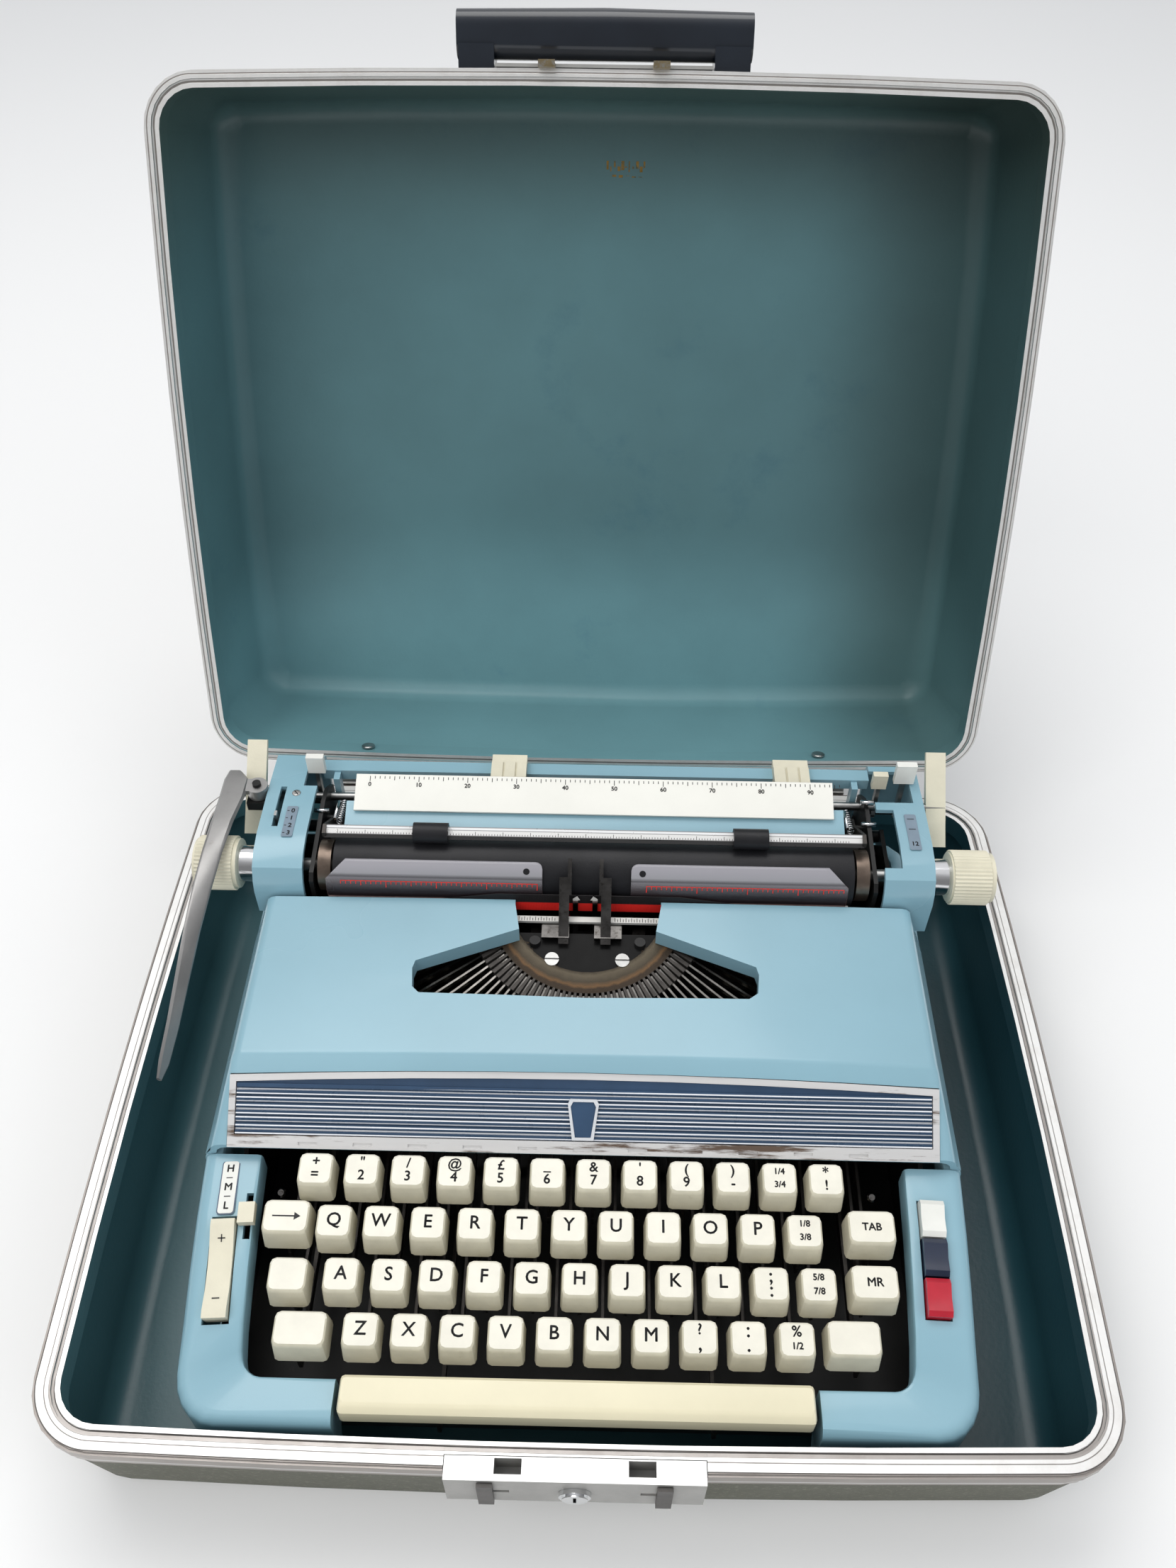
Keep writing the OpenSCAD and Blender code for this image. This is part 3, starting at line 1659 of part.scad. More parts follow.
module paper_release_lever() {
    color([0.88, 0.84, 0.7])
        on_carriage()
            keyed_lever(end_x + 7.4, lever_pivot, 146, 7, 9);
}

module carriage_release_levers() {
    color([0.9, 0.87, 0.74])
        on_carriage() {
            rod(release_pivot, release_r, -carriage_half - 14, carriage_half + 14);
            for (side = [-1, 1])
                along_x(side * (carriage_half + 9.4) - 4.8, side * (carriage_half + 9.4) + 4.8)
                    polygon([
                        [96, 117.4], [98, 116.6], [112, 125.4], [126, 138], [133, 145], [131.6, 146.6],
                        [122, 138.6], [112, 130.6], [104, 123.6]
                    ]);
        }
}

// ---------- build ----------

case_base();
case_base_rim();
case_lid();
case_lid_rim();
case_hinge_base();
case_hinge_lid();
case_handle();
hasp_plate();
lock_plate();
latch_left();
latch_right();
lock_cylinder();
chassis();
body_shell();
top_cover();
front_bezel();
front_panel();
segment();
typebars();
ribbon_vibrator();
card_fingers();
ribbon();
ribbon_spool_left();
ribbon_spool_right();
keys_row_1();
keys_row_2();
keys_row_3();
keys_row_4();
backspace_key();
shift_lock_key();
left_shift_key();
right_shift_key();
tab_key();
margin_release_key();
space_bar();
touch_slider();
tab_rocker();
ribbon_key_white();
ribbon_key_black();
ribbon_key_red();
carriage_frame();
carriage_cover_left();
carriage_cover_right();
carriage_rear_rail();
margin_stop_left();
margin_stop_right();
scale_plate();
paper_deflector();
platen();
platen_knobs();
paper_bail();
bail_rollers();
card_plates();
line_scale();
return_lever();
line_space_selector();
ratchet_lever();
page_gauge_lever();
paper_release_lever();
carriage_release_levers();
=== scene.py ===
import math
import bpy
import bmesh
from mathutils import Matrix, Vector


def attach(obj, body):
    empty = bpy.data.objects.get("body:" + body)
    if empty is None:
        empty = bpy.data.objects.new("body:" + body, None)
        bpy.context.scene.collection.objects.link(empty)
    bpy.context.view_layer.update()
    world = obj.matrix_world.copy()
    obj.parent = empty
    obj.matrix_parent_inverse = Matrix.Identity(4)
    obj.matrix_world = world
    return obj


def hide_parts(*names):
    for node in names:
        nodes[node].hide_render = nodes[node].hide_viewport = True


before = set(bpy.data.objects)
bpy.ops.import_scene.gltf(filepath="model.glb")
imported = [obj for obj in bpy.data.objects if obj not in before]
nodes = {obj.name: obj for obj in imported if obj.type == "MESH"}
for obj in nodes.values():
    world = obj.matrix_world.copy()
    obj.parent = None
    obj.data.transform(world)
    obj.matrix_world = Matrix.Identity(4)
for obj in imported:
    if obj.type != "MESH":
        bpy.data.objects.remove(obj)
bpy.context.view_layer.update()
scene = bpy.context.scene
MM = 0.001

# ---------------------------------------------------------------- camera, light, floor

# Place (m), turn (degrees) and lens (mm) of the camera that was fitted to the photograph.
CAMERA_AT = (0.0043, -0.32201, 0.60977)
CAMERA_TURN = (42.7576, -0.3806, 1.172)
CAMERA_LENS = 30.42

camera_data = bpy.data.cameras.new("camera")
camera = bpy.data.objects.new("camera", camera_data)
scene.collection.objects.link(camera)
camera.location = CAMERA_AT
camera.rotation_euler = [math.radians(a) for a in CAMERA_TURN]
camera_data.sensor_width = 36
camera_data.lens = CAMERA_LENS
camera_data.clip_end = 30
scene.camera = camera
scene.view_settings.view_transform = "Standard"

BACKDROP = (0.915, 0.91, 0.905)
BACKGROUND = (0.93, 0.925, 0.92)
SKY = (0.93, 0.96, 1.0)
SKY_LEVEL = 0.60
FLOOR_HALF = 6
# The mirrored room is dim on the typist's side and bright overhead and behind: (place, level).
MIRROR_ROOM = [(0.0, 0.24), (0.30, 0.34), (0.52, 0.50), (0.74, 0.80), (1.0, 0.86)]
MIRROR_TILT = math.radians(28)


def tree_of(owner):
    """The emptied node tree of a material or of the world."""
    owner.use_nodes = True
    tree = owner.node_tree
    tree.nodes.clear()
    return tree, tree.nodes, tree.links


def add(tree, kind, **values):
    """A node with its inputs or its settings given by name."""
    node = tree.nodes.new(kind)
    for key, value in values.items():
        if key in node.inputs:
            node.inputs[key].default_value = value
        else:
            setattr(node, key, value)
    return node


def backdrop_material(name, colour):
    mat = bpy.data.materials.new(name)
    tree, _, links = tree_of(mat)
    shader = add(tree, "ShaderNodeBsdfPrincipled", Roughness=0.9)
    noise = add(tree, "ShaderNodeTexNoise", Scale=2.5, Detail=3)
    ramp = add(tree, "ShaderNodeValToRGB")
    ramp.color_ramp.elements[0].color = (*[c * 0.97 for c in colour], 1)
    ramp.color_ramp.elements[1].color = (*colour, 1)
    out = add(tree, "ShaderNodeOutputMaterial")
    links.new(noise.outputs[0], ramp.inputs[0])
    links.new(ramp.outputs[0], shader.inputs["Base Color"])
    links.new(shader.outputs[0], out.inputs[0])
    return mat


def make_world():
    """Plain backdrop for the camera, even light for the surfaces and a graded room for the reflections."""
    world = bpy.data.worlds.new("world")
    scene.world = world
    tree, _, links = tree_of(world)
    out = add(tree, "ShaderNodeOutputWorld")
    seen_or_not = add(tree, "ShaderNodeMixShader")
    glossy_or_not = add(tree, "ShaderNodeMixShader")
    light = add(tree, "ShaderNodeBackground", Color=(*SKY, 1), Strength=SKY_LEVEL)
    mirror = add(tree, "ShaderNodeBackground")
    seen = add(tree, "ShaderNodeBackground", Color=(*BACKGROUND, 1), Strength=1.0)
    path = add(tree, "ShaderNodeLightPath")
    coords = add(tree, "ShaderNodeTexCoord")
    turn = add(tree, "ShaderNodeMapping", Rotation=(MIRROR_TILT, 0, 0))
    split = add(tree, "ShaderNodeSeparateXYZ")
    ramp = add(tree, "ShaderNodeValToRGB")
    stops = ramp.color_ramp.elements
    stops[0].position = MIRROR_ROOM[0][0]
    stops[1].position = MIRROR_ROOM[-1][0]
    for place, _ in MIRROR_ROOM[1:-1]:
        stops.new(place)
    for stop, (_, level) in zip(stops, MIRROR_ROOM):
        stop.color = (level, level, level * 1.02, 1)
    links.new(coords.outputs["Generated"], turn.inputs[0])
    links.new(turn.outputs[0], split.inputs[0])
    links.new(split.outputs["Z"], ramp.inputs[0])
    links.new(ramp.outputs[0], mirror.inputs[0])
    links.new(path.outputs["Is Glossy Ray"], glossy_or_not.inputs[0])
    links.new(light.outputs[0], glossy_or_not.inputs[1])
    links.new(mirror.outputs[0], glossy_or_not.inputs[2])
    links.new(path.outputs["Is Camera Ray"], seen_or_not.inputs[0])
    links.new(glossy_or_not.outputs[0], seen_or_not.inputs[1])
    links.new(seen.outputs[0], seen_or_not.inputs[2])
    links.new(seen_or_not.outputs[0], out.inputs[0])


make_world()

floor_mesh = bpy.data.meshes.new("floor")
floor_corners = [(-1, -1), (1, -1), (1, 1), (-1, 1)]
floor_mesh.from_pydata([(x * FLOOR_HALF, y * FLOOR_HALF, 0) for x, y in floor_corners], [], [(0, 1, 2, 3)])
floor = bpy.data.objects.new("floor", floor_mesh)
scene.collection.objects.link(floor)
floor_mesh.materials.append(backdrop_material("floor", BACKDROP))


def area_light(name, place, target, size, power, colour, glossy):
    data = bpy.data.lights.new(name, "AREA")
    data.shape = "RECTANGLE"
    data.size, data.size_y = size
    data.energy = power
    data.color = colour
    obj = bpy.data.objects.new(name, data)
    scene.collection.objects.link(obj)
    obj.location = place
    obj.rotation_euler = (Vector(target) - Vector(place)).to_track_quat("-Z", "Y").to_euler()
    obj.visible_glossy = glossy


# name, place, target, size (m), power (W), colour, seen in reflections
area_light("key", (-0.9, -1.1, 1.9), (0, 0.05, 0.1), (1.6, 1.2), 17, (1.0, 0.98, 0.95), False)
area_light("fill", (1.6, -0.8, 1.4), (0, 0.05, 0.1), (1.6, 1.4), 8, (0.94, 0.97, 1.0), False)
area_light("top", (-0.25, 0.62, 1.9), (0, 0.1, 0.1), (1.5, 1.0), 14, (1.0, 0.99, 0.97), True)

# ---------------------------------------------------------------- materials


def surface(
    name,
    colour,
    rough,
    metal=0.0,
    shift=0.12,
    scale=60,
    second=None,
    second_at=0.62,
    second_scale=None,
    second_soft=0.05,
    bump=0.0,
    bump_scale=400,
    rough_shift=0.12,
    coat=0.0,
    stretch=None,
    sheen=0.5,
):
    """A procedural finish: mottled colour, a second colour in patches, uneven gloss and fine relief."""
    mat = bpy.data.materials.new(name)
    tree, _, links = tree_of(mat)
    out = add(tree, "ShaderNodeOutputMaterial")
    shader = add(tree, "ShaderNodeBsdfPrincipled", Metallic=metal)
    shader.inputs["Specular IOR Level"].default_value = sheen
    shader.inputs["Coat Weight"].default_value = coat
    shader.inputs["Coat Roughness"].default_value = 0.12
    coords = add(tree, "ShaderNodeTexCoord")
    place = add(tree, "ShaderNodeMapping")
    if stretch:
        place.inputs["Scale"].default_value = stretch
    links.new(coords.outputs["Object"], place.inputs[0])
    noise = add(tree, "ShaderNodeTexNoise", Scale=scale, Detail=6, Roughness=0.6)
    links.new(place.outputs[0], noise.inputs["Vector"])
    ramp = add(tree, "ShaderNodeValToRGB")
    ramp.color_ramp.elements[0].position = 0.3
    ramp.color_ramp.elements[1].position = 0.7
    ramp.color_ramp.elements[0].color = (*[c * (1 - shift) for c in colour], 1)
    ramp.color_ramp.elements[1].color = (*[min(1, c * (1 + shift)) for c in colour], 1)
    links.new(noise.outputs[0], ramp.inputs[0])
    colour_out = ramp.outputs[0]
    if second:
        spots = add(tree, "ShaderNodeTexNoise", Scale=second_scale or scale * 3, Detail=8, Roughness=0.7)
        links.new(place.outputs[0], spots.inputs["Vector"])
        edge = add(tree, "ShaderNodeValToRGB")
        edge.color_ramp.elements[0].position = second_at
        edge.color_ramp.elements[1].position = min(1, second_at + second_soft)
        links.new(spots.outputs[0], edge.inputs[0])
        mix = add(tree, "ShaderNodeMix", data_type="RGBA")
        links.new(edge.outputs[0], mix.inputs["Factor"])
        links.new(colour_out, mix.inputs[6])
        mix.inputs[7].default_value = (*second, 1)
        colour_out = mix.outputs[2]
    links.new(colour_out, shader.inputs["Base Color"])
    gloss = add(tree, "ShaderNodeMapRange")
    gloss.inputs["To Min"].default_value = max(0.03, rough - rough_shift)
    gloss.inputs["To Max"].default_value = min(1, rough + rough_shift)
    wide = add(tree, "ShaderNodeTexNoise", Scale=scale * 0.35, Detail=4)
    links.new(place.outputs[0], wide.inputs["Vector"])
    links.new(wide.outputs[0], gloss.inputs[0])
    links.new(gloss.outputs[0], shader.inputs["Roughness"])
    if bump:
        grain = add(tree, "ShaderNodeTexNoise", Scale=bump_scale, Detail=3)
        links.new(place.outputs[0], grain.inputs["Vector"])
        relief = add(tree, "ShaderNodeBump", Strength=bump, Distance=0.0006)
        links.new(grain.outputs[0], relief.inputs["Height"])
        links.new(relief.outputs[0], shader.inputs["Normal"])
    links.new(shader.outputs[0], out.inputs[0])
    return mat


CLOTH = surface("case_cloth", (0.085, 0.088, 0.060), 0.6, second=(0.145, 0.145, 0.11), second_at=0.55,
                second_scale=420,
                scale=30, bump=0.5, bump_scale=700)
LINING = surface("case_lining", (0.088, 0.192, 0.212), 0.36, scale=6, shift=0.14, bump=0.12, bump_scale=500,
                 second=(0.055, 0.145, 0.185), second_at=0.6, second_scale=14, second_soft=0.25)
NAVY_PLATE = surface("plate_grey_blue", (0.19, 0.25, 0.31), 0.4, scale=80, shift=0.08)
RIM = surface("rim_aluminium", (0.66, 0.66, 0.65), 0.32, 1.0, scale=24, shift=0.08, bump=0.05, bump_scale=900,
              second=(0.42, 0.41, 0.38), second_at=0.66, second_scale=60, second_soft=0.2,
              stretch=(0.4, 1, 1))
RIM_SIDE = surface("rim_side", (0.36, 0.33, 0.31), 0.36, 0.9, scale=50, shift=0.15, stretch=(0.4, 1, 1))
RIM_DARK = surface("rim_groove", (0.12, 0.115, 0.11), 0.55, 0.6, scale=40)
STEEL = surface("worn_steel", (0.42, 0.42, 0.41), 0.34, 1.0, scale=120, shift=0.2,
                second=(0.16, 0.12, 0.09), second_at=0.64, second_soft=0.15)
PALE_STEEL = surface("pale_steel", (0.60, 0.59, 0.56), 0.45, 0.35, scale=80, shift=0.1,
                     second=(0.30, 0.26, 0.22), second_at=0.68, second_soft=0.15)
DARK_STEEL = surface("dark_steel", (0.055, 0.05, 0.046), 0.42, 0.7, scale=160, shift=0.35,
                     second=(0.12, 0.07, 0.04), second_at=0.68, second_soft=0.1)
BLACK = surface("black_enamel", (0.012, 0.012, 0.012), 0.38, sheen=0.3, scale=60, shift=0.3,
                second=(0.05, 0.047, 0.04),
                second_at=0.66, second_scale=90, second_soft=0.2)
CHROME = surface("chrome", (0.74, 0.75, 0.76), 0.12, 1.0, scale=90, shift=0.05, rough_shift=0.07,
                 second=(0.38, 0.37, 0.35), second_at=0.72, second_scale=120, second_soft=0.12)
BRASSY = surface("worn_plate", (0.46, 0.37, 0.22), 0.35, 1.0, scale=120, shift=0.25,
                 second=(0.55, 0.54, 0.5), second_at=0.5, second_soft=0.15)
BLUE = surface("body_enamel", (0.245, 0.425, 0.505), 0.3, scale=9, shift=0.05, coat=0.35, bump=0.04,
               bump_scale=900,
               second=(0.205, 0.37, 0.45), second_at=0.66, second_scale=22, second_soft=0.25)
NAVY = surface("navy_enamel", (0.026, 0.062, 0.125), 0.32, scale=40, shift=0.15, coat=0.2)
RIB = surface("bright_rib", (0.80, 0.82, 0.85), 0.28, 0.35, scale=60, shift=0.08)
LEVER = surface("lever_steel", (0.30, 0.295, 0.29), 0.38, 0.75, scale=40, shift=0.14, bump=0.05,
                bump_scale=900,
                second=(0.20, 0.18, 0.165), second_at=0.62, second_soft=0.2)
BAR_STEEL = surface("typebar_steel", (0.34, 0.325, 0.30), 0.26, 1.0, scale=160, shift=0.3,
                    second=(0.05, 0.04, 0.028), second_at=0.56, second_soft=0.16)
DARK_CHROME = surface("dark_chrome", (0.12, 0.115, 0.11), 0.16, 1.0, scale=150, shift=0.4,
                      second=(0.04, 0.035, 0.03), second_at=0.55, second_soft=0.12)
BEZEL = surface("bezel_chrome", (0.86, 0.85, 0.84), 0.16, 0.45, scale=120, shift=0.06,
                second=(0.17, 0.12, 0.09), second_at=0.55, second_scale=90, second_soft=0.06,
                stretch=(0.10, 1, 1))
GOLD = surface("worn_gold", (0.30, 0.185, 0.045), 0.45, 0.5, scale=300, shift=0.3,
               second=(0.09, 0.12, 0.09), second_at=0.5, second_scale=600, second_soft=0.1)
GRIP = surface("handle_plastic", (0.010, 0.014, 0.021), 0.22, scale=12, shift=0.4, coat=0.25)
LATCH = surface("latch_steel", (0.075, 0.07, 0.066), 0.42, 0.2, scale=120, shift=0.3, sheen=0.3)
# The lock's top faces: a pale copy of its metal, painted as a highlight; the front keeps the darker pressing.
LOCK_TOP_PAINTED_HIGHLIGHT = surface("lock_top_painted_highlight", (0.86, 0.855, 0.84), 0.3, 0.25, scale=60, shift=0.04,
                   second=(0.5, 0.46, 0.43), second_at=0.68, second_scale=200, second_soft=0.2)
LOCK = surface("lock_pressing", (0.33, 0.325, 0.31), 0.42, 0.15, scale=70, shift=0.12, bump=0.06,
               bump_scale=800,
               second=(0.24, 0.23, 0.21), second_at=0.66, second_soft=0.2)
KEY = surface("key_ivory", (0.80, 0.77, 0.665), 0.36, scale=90, shift=0.05, coat=0.15, bump=0.06,
              bump_scale=1600,
              second=(0.60, 0.52, 0.36), second_at=0.7, second_scale=140, second_soft=0.2)
SPACE = surface("space_ivory", (0.76, 0.70, 0.50), 0.34, scale=20, shift=0.05, coat=0.15, bump=0.05,
                bump_scale=1400,
                second=(0.66, 0.58, 0.38), second_at=0.66, second_scale=30, second_soft=0.25)
CREAM = surface("cream_plastic", (0.70, 0.66, 0.52), 0.42, scale=60, shift=0.06, bump=0.1, bump_scale=1200,
                second=(0.52, 0.45, 0.30), second_at=0.68, second_soft=0.2)
WHITE = surface("white_plastic", (0.78, 0.78, 0.73), 0.36, scale=70, shift=0.04,
                second=(0.6, 0.57, 0.48), second_at=0.7, second_soft=0.2)
# The keys' flanks: a darker copy of the ivory, painted as shade.
KEY_SIDE_PAINTED_SHADE = surface("key_flank_painted_shade", (0.60, 0.565, 0.44), 0.42, scale=90, shift=0.08, coat=0.1, bump=0.06,
                   bump_scale=1600,
                   second=(0.44, 0.40, 0.29), second_at=0.62, second_scale=120, second_soft=0.25)
BLACK_KEY = surface("black_plastic", (0.012, 0.020, 0.045), 0.28, scale=70, shift=0.2, coat=0.2)
RED_KEY = surface("red_plastic", (0.48, 0.012, 0.03), 0.3, scale=70, shift=0.12, coat=0.2)
RUBBER = surface("platen_rubber", (0.012, 0.012, 0.014), 0.5, sheen=0.34, scale=50, shift=0.3, bump=0.12,
                 bump_scale=1500,
                 second=(0.04, 0.04, 0.042), second_at=0.64, second_soft=0.25)
BROWN = surface("brown_metal", (0.20, 0.155, 0.125), 0.36, 0.9, scale=140, shift=0.25,
                second=(0.45, 0.4, 0.34), second_at=0.66, second_soft=0.2)
SHINY_BLACK = surface("oily_black", (0.006, 0.006, 0.006), 0.3, scale=90, shift=0.4, rough_shift=0.1,
                      sheen=0.1,
                      second=(0.06, 0.05, 0.035), second_at=0.66, second_scale=420, second_soft=0.1)
RUST = surface("rusty_ring", (0.085, 0.070, 0.050), 0.5, 0.3, sheen=0.25, scale=220, shift=0.5, bump=0.4,
               bump_scale=1800,
               second=(0.17, 0.085, 0.035), second_at=0.6, second_soft=0.25)
SCALE = surface("scale_white", (0.80, 0.79, 0.73), 0.42, scale=30, shift=0.03,
                second=(0.62, 0.58, 0.48), second_at=0.7, second_soft=0.25)
# Black ink for the legends, also laid in the screw slots and the keyhole as painted shade.
INK_AND_SHADE = surface("legend_ink_and_shade", (0.006, 0.006, 0.008), 0.5, scale=300, shift=0.2)
INK_RED = surface("red_ink", (0.80, 0.03, 0.02), 0.5, scale=300, shift=0.15)
GROOVE = surface("shadow_gap", (0.01, 0.01, 0.011), 0.7, scale=60, shift=0.3)


# The ribbon is raised at the printing point and falls to the spools (m).
RIBBON_LEVEL = 0.042
RIBBON_TURN = 0.096
RIBBON_RISE = 0.0094
RIBBON_Z = 0.108
RIBBON_HALF = 0.0057
RIBBON_RED = (0.80, 0.022, 0.016)
RIBBON_BLACK = (0.014, 0.012, 0.013)


def ribbon_material():
    """Inked cloth, black above and red below, with a woven grain."""
    mat = bpy.data.materials.new("ribbon_cloth")
    tree, _, links = tree_of(mat)
    out = add(tree, "ShaderNodeOutputMaterial")
    shader = add(tree, "ShaderNodeBsdfPrincipled", Roughness=0.75)
    coords = add(tree, "ShaderNodeTexCoord")
    split = add(tree, "ShaderNodeSeparateXYZ")
    side = add(tree, "ShaderNodeMath", operation="ABSOLUTE")
    level = add(tree, "ShaderNodeMapRange")
    level.inputs["From Min"].default_value = RIBBON_LEVEL
    level.inputs["From Max"].default_value = RIBBON_TURN
    level.inputs["To Min"].default_value = RIBBON_Z + RIBBON_RISE + RIBBON_HALF
    level.inputs["To Max"].default_value = RIBBON_Z + RIBBON_HALF
    middle = add(tree, "ShaderNodeMath", operation="GREATER_THAN")
    mix = add(tree, "ShaderNodeMix", data_type="RGBA")
    mix.inputs[6].default_value = (*RIBBON_RED, 1)
    mix.inputs[7].default_value = (*RIBBON_BLACK, 1)
    weave = add(tree, "ShaderNodeTexWave", Scale=700, Distortion=1.5)
    relief = add(tree, "ShaderNodeBump", Strength=0.3, Distance=0.0002)
    links.new(coords.outputs["Object"], split.inputs[0])
    links.new(coords.outputs["Object"], weave.inputs["Vector"])
    links.new(split.outputs["X"], side.inputs[0])
    links.new(side.outputs[0], level.inputs[0])
    links.new(split.outputs["Z"], middle.inputs[0])
    links.new(level.outputs[0], middle.inputs[1])
    links.new(middle.outputs[0], mix.inputs["Factor"])
    links.new(mix.outputs[2], shader.inputs["Base Color"])
    links.new(weave.outputs[0], relief.inputs["Height"])
    links.new(relief.outputs[0], shader.inputs["Normal"])
    links.new(shader.outputs[0], out.inputs[0])
    return mat


def calc(tree, operation, *terms):
    """Math node fed with sockets or plain numbers; gives its output socket."""
    node = add(tree, "ShaderNodeMath", operation=operation)
    for i, term in enumerate(terms):
        if isinstance(term, (int, float)):
            node.inputs[i].default_value = term
        else:
            tree.links.new(term, node.inputs[i])
    return node.outputs[0]


BAND_SOFT = 0.06


def band_ramp(tree, along, bands, length, value):
    """Constant bands of colour or of a number along a socket that runs from 0 to 1 over length."""
    ramp = add(tree, "ShaderNodeValToRGB")
    stops = ramp.color_ramp.elements
    while len(stops) < 2 * len(bands):
        stops.new(0.5)
    places = []
    for i, band in enumerate(bands):
        end = bands[i + 1][0] if i + 1 < len(bands) else length
        places += [(band[0] + BAND_SOFT, value(band)), (end - BAND_SOFT, value(band))]
    for stop, (at, colour) in zip(stops, places):
        stop.position = at / length
        stop.color = (*colour, 1)
    tree.links.new(along, ramp.inputs[0])
    return ramp.outputs[0]


def in_frame(tree, origin, tilt):
    """Object coordinates, and their X, Y and Z in a frame at origin that is tilted about X."""
    coords = add(tree, "ShaderNodeTexCoord").outputs["Object"]
    place = add(tree, "ShaderNodeMapping")
    place.inputs["Rotation"].default_value = (-tilt, 0, 0)
    place.inputs["Location"].default_value = -(Matrix.Rotation(-tilt, 3, "X") @ Vector(origin))
    split = add(tree, "ShaderNodeSeparateXYZ")
    tree.links.new(coords, place.inputs[0])
    tree.links.new(place.outputs[0], split.inputs[0])
    return coords, split.outputs[:]


def copy_finish(name, mat):
    """A finish's copy, its node tree and its shader."""
    mat = mat.copy()
    mat.name = name
    shader = next(n for n in mat.node_tree.nodes if n.type == "BSDF_PRINCIPLED")
    return mat, mat.node_tree, shader


def striped(name, origin, tilt, start, bands, length, rough=0.3, metal=0.5, repeat=None):
    """Finish banded along Y of a frame at origin that is tilted about X: bands are (place in mm, colour)."""
    mat = bpy.data.materials.new(name)
    tree, _, links = tree_of(mat)
    out = add(tree, "ShaderNodeOutputMaterial")
    shader = add(tree, "ShaderNodeBsdfPrincipled", Metallic=metal)
    coords, (_, y, _) = in_frame(tree, origin, tilt)
    along = calc(tree, "DIVIDE", calc(tree, "SUBTRACT", y, start * MM), length * MM)
    if repeat:
        along = calc(tree, "FRACT", along)
    colour = band_ramp(tree, along, bands, length, lambda band: band[1])
    wear = add(tree, "ShaderNodeTexNoise", Scale=160, Detail=5)
    links.new(coords, wear.inputs["Vector"])
    gloss = add(tree, "ShaderNodeMapRange")
    gloss.inputs["To Min"].default_value = max(0.05, rough - 0.12)
    gloss.inputs["To Max"].default_value = rough + 0.12
    links.new(wear.outputs[0], gloss.inputs[0])
    links.new(gloss.outputs[0], shader.inputs["Roughness"])
    links.new(colour, shader.inputs["Base Color"])
    links.new(shader.outputs[0], out.inputs[0])
    return mat


# The card plates' colour over their height (m): dark below and paler streaks above, a painted highlight.
CARD_LIT = (0.1285, 0.139)
CARD_SHADE_HIGHLIGHT_ENDS = ((0.05, 0.035, 0.04), (0.36, 0.35, 0.38))
CARD_HIGHLIGHT_TONES = [(0.35, (0.16, 0.14, 0.15)), (0.62, (0.27, 0.26, 0.28)), (0.68, (0.13, 0.125, 0.135)),
              (0.8, (0.40, 0.395, 0.42))]


def clear_material():
    """Clear plastic with a painted highlight on its upper half, paler and more opaque there, and fine scratches
    along the line of type.
    """
    mat = bpy.data.materials.new("clear_plastic_painted_highlight")
    tree, _, links = tree_of(mat)
    out = add(tree, "ShaderNodeOutputMaterial")
    shader = add(tree, "ShaderNodeBsdfPrincipled", Metallic=0.0)
    coords = add(tree, "ShaderNodeTexCoord")
    split = add(tree, "ShaderNodeSeparateXYZ")
    place = add(tree, "ShaderNodeMapping")
    place.inputs["Scale"].default_value = (0.04, 1, 1)
    scratch = add(tree, "ShaderNodeTexNoise", Scale=900, Detail=5)
    links.new(coords.outputs["Object"], split.inputs[0])
    links.new(coords.outputs["Object"], place.inputs[0])
    links.new(place.outputs[0], scratch.inputs["Vector"])
    rise = add(tree, "ShaderNodeMapRange")
    rise.inputs["From Min"].default_value, rise.inputs["From Max"].default_value = CARD_LIT
    links.new(split.outputs["Z"], rise.inputs[0])
    painted_highlight = add(tree, "ShaderNodeValToRGB")
    stops = painted_highlight.color_ramp.elements
    stops[0].color, stops[1].color = [(*end, 1) for end in CARD_SHADE_HIGHLIGHT_ENDS]
    for at, colour in CARD_HIGHLIGHT_TONES:
        stops.new(at).color = (*colour, 1)
    links.new(rise.outputs[0], painted_highlight.inputs[0])
    links.new(painted_highlight.outputs[0], shader.inputs["Base Color"])
    body = add(tree, "ShaderNodeMapRange")
    body.inputs["To Min"].default_value = 0.28
    body.inputs["To Max"].default_value = 0.86
    links.new(rise.outputs[0], body.inputs[0])
    links.new(body.outputs[0], shader.inputs["Alpha"])
    gloss = add(tree, "ShaderNodeMapRange")
    gloss.inputs["To Min"].default_value = 0.05
    gloss.inputs["To Max"].default_value = 0.35
    links.new(scratch.outputs[0], gloss.inputs[0])
    links.new(gloss.outputs[0], shader.inputs["Roughness"])
    links.new(shader.outputs[0], out.inputs[0])
    return mat


CLEAR_EDGE = surface("clear_edge", (0.26, 0.16, 0.15), 0.3, scale=200, shift=0.3)
RIBBON = ribbon_material()
CLEAR_PAINTED_HIGHLIGHT = clear_material()


def graded(name, mat, *slopes):
    """Copy of a finish, tinted along the rest frame: slopes are (axis, from, to, tint)."""
    mat, tree, shader = copy_finish(name, mat)
    links = tree.links
    colour = shader.inputs["Base Color"].links[0].from_socket
    coords = add(tree, "ShaderNodeTexCoord")
    split = add(tree, "ShaderNodeSeparateXYZ")
    links.new(coords.outputs["Object"], split.inputs[0])
    for axis, start, end, tint in slopes:
        slope = add(tree, "ShaderNodeMapRange", interpolation_type="SMOOTHSTEP")
        slope.inputs["From Min"].default_value = start
        slope.inputs["From Max"].default_value = end
        links.new(split.outputs[axis], slope.inputs[0])
        mix = add(tree, "ShaderNodeMix", data_type="RGBA", blend_type="MULTIPLY")
        links.new(slope.outputs[0], mix.inputs["Factor"])
        links.new(colour, mix.inputs[6])
        mix.inputs[7].default_value = (*tint, 1)
        colour = mix.outputs[2]
    links.new(colour, shader.inputs["Base Color"])
    return mat
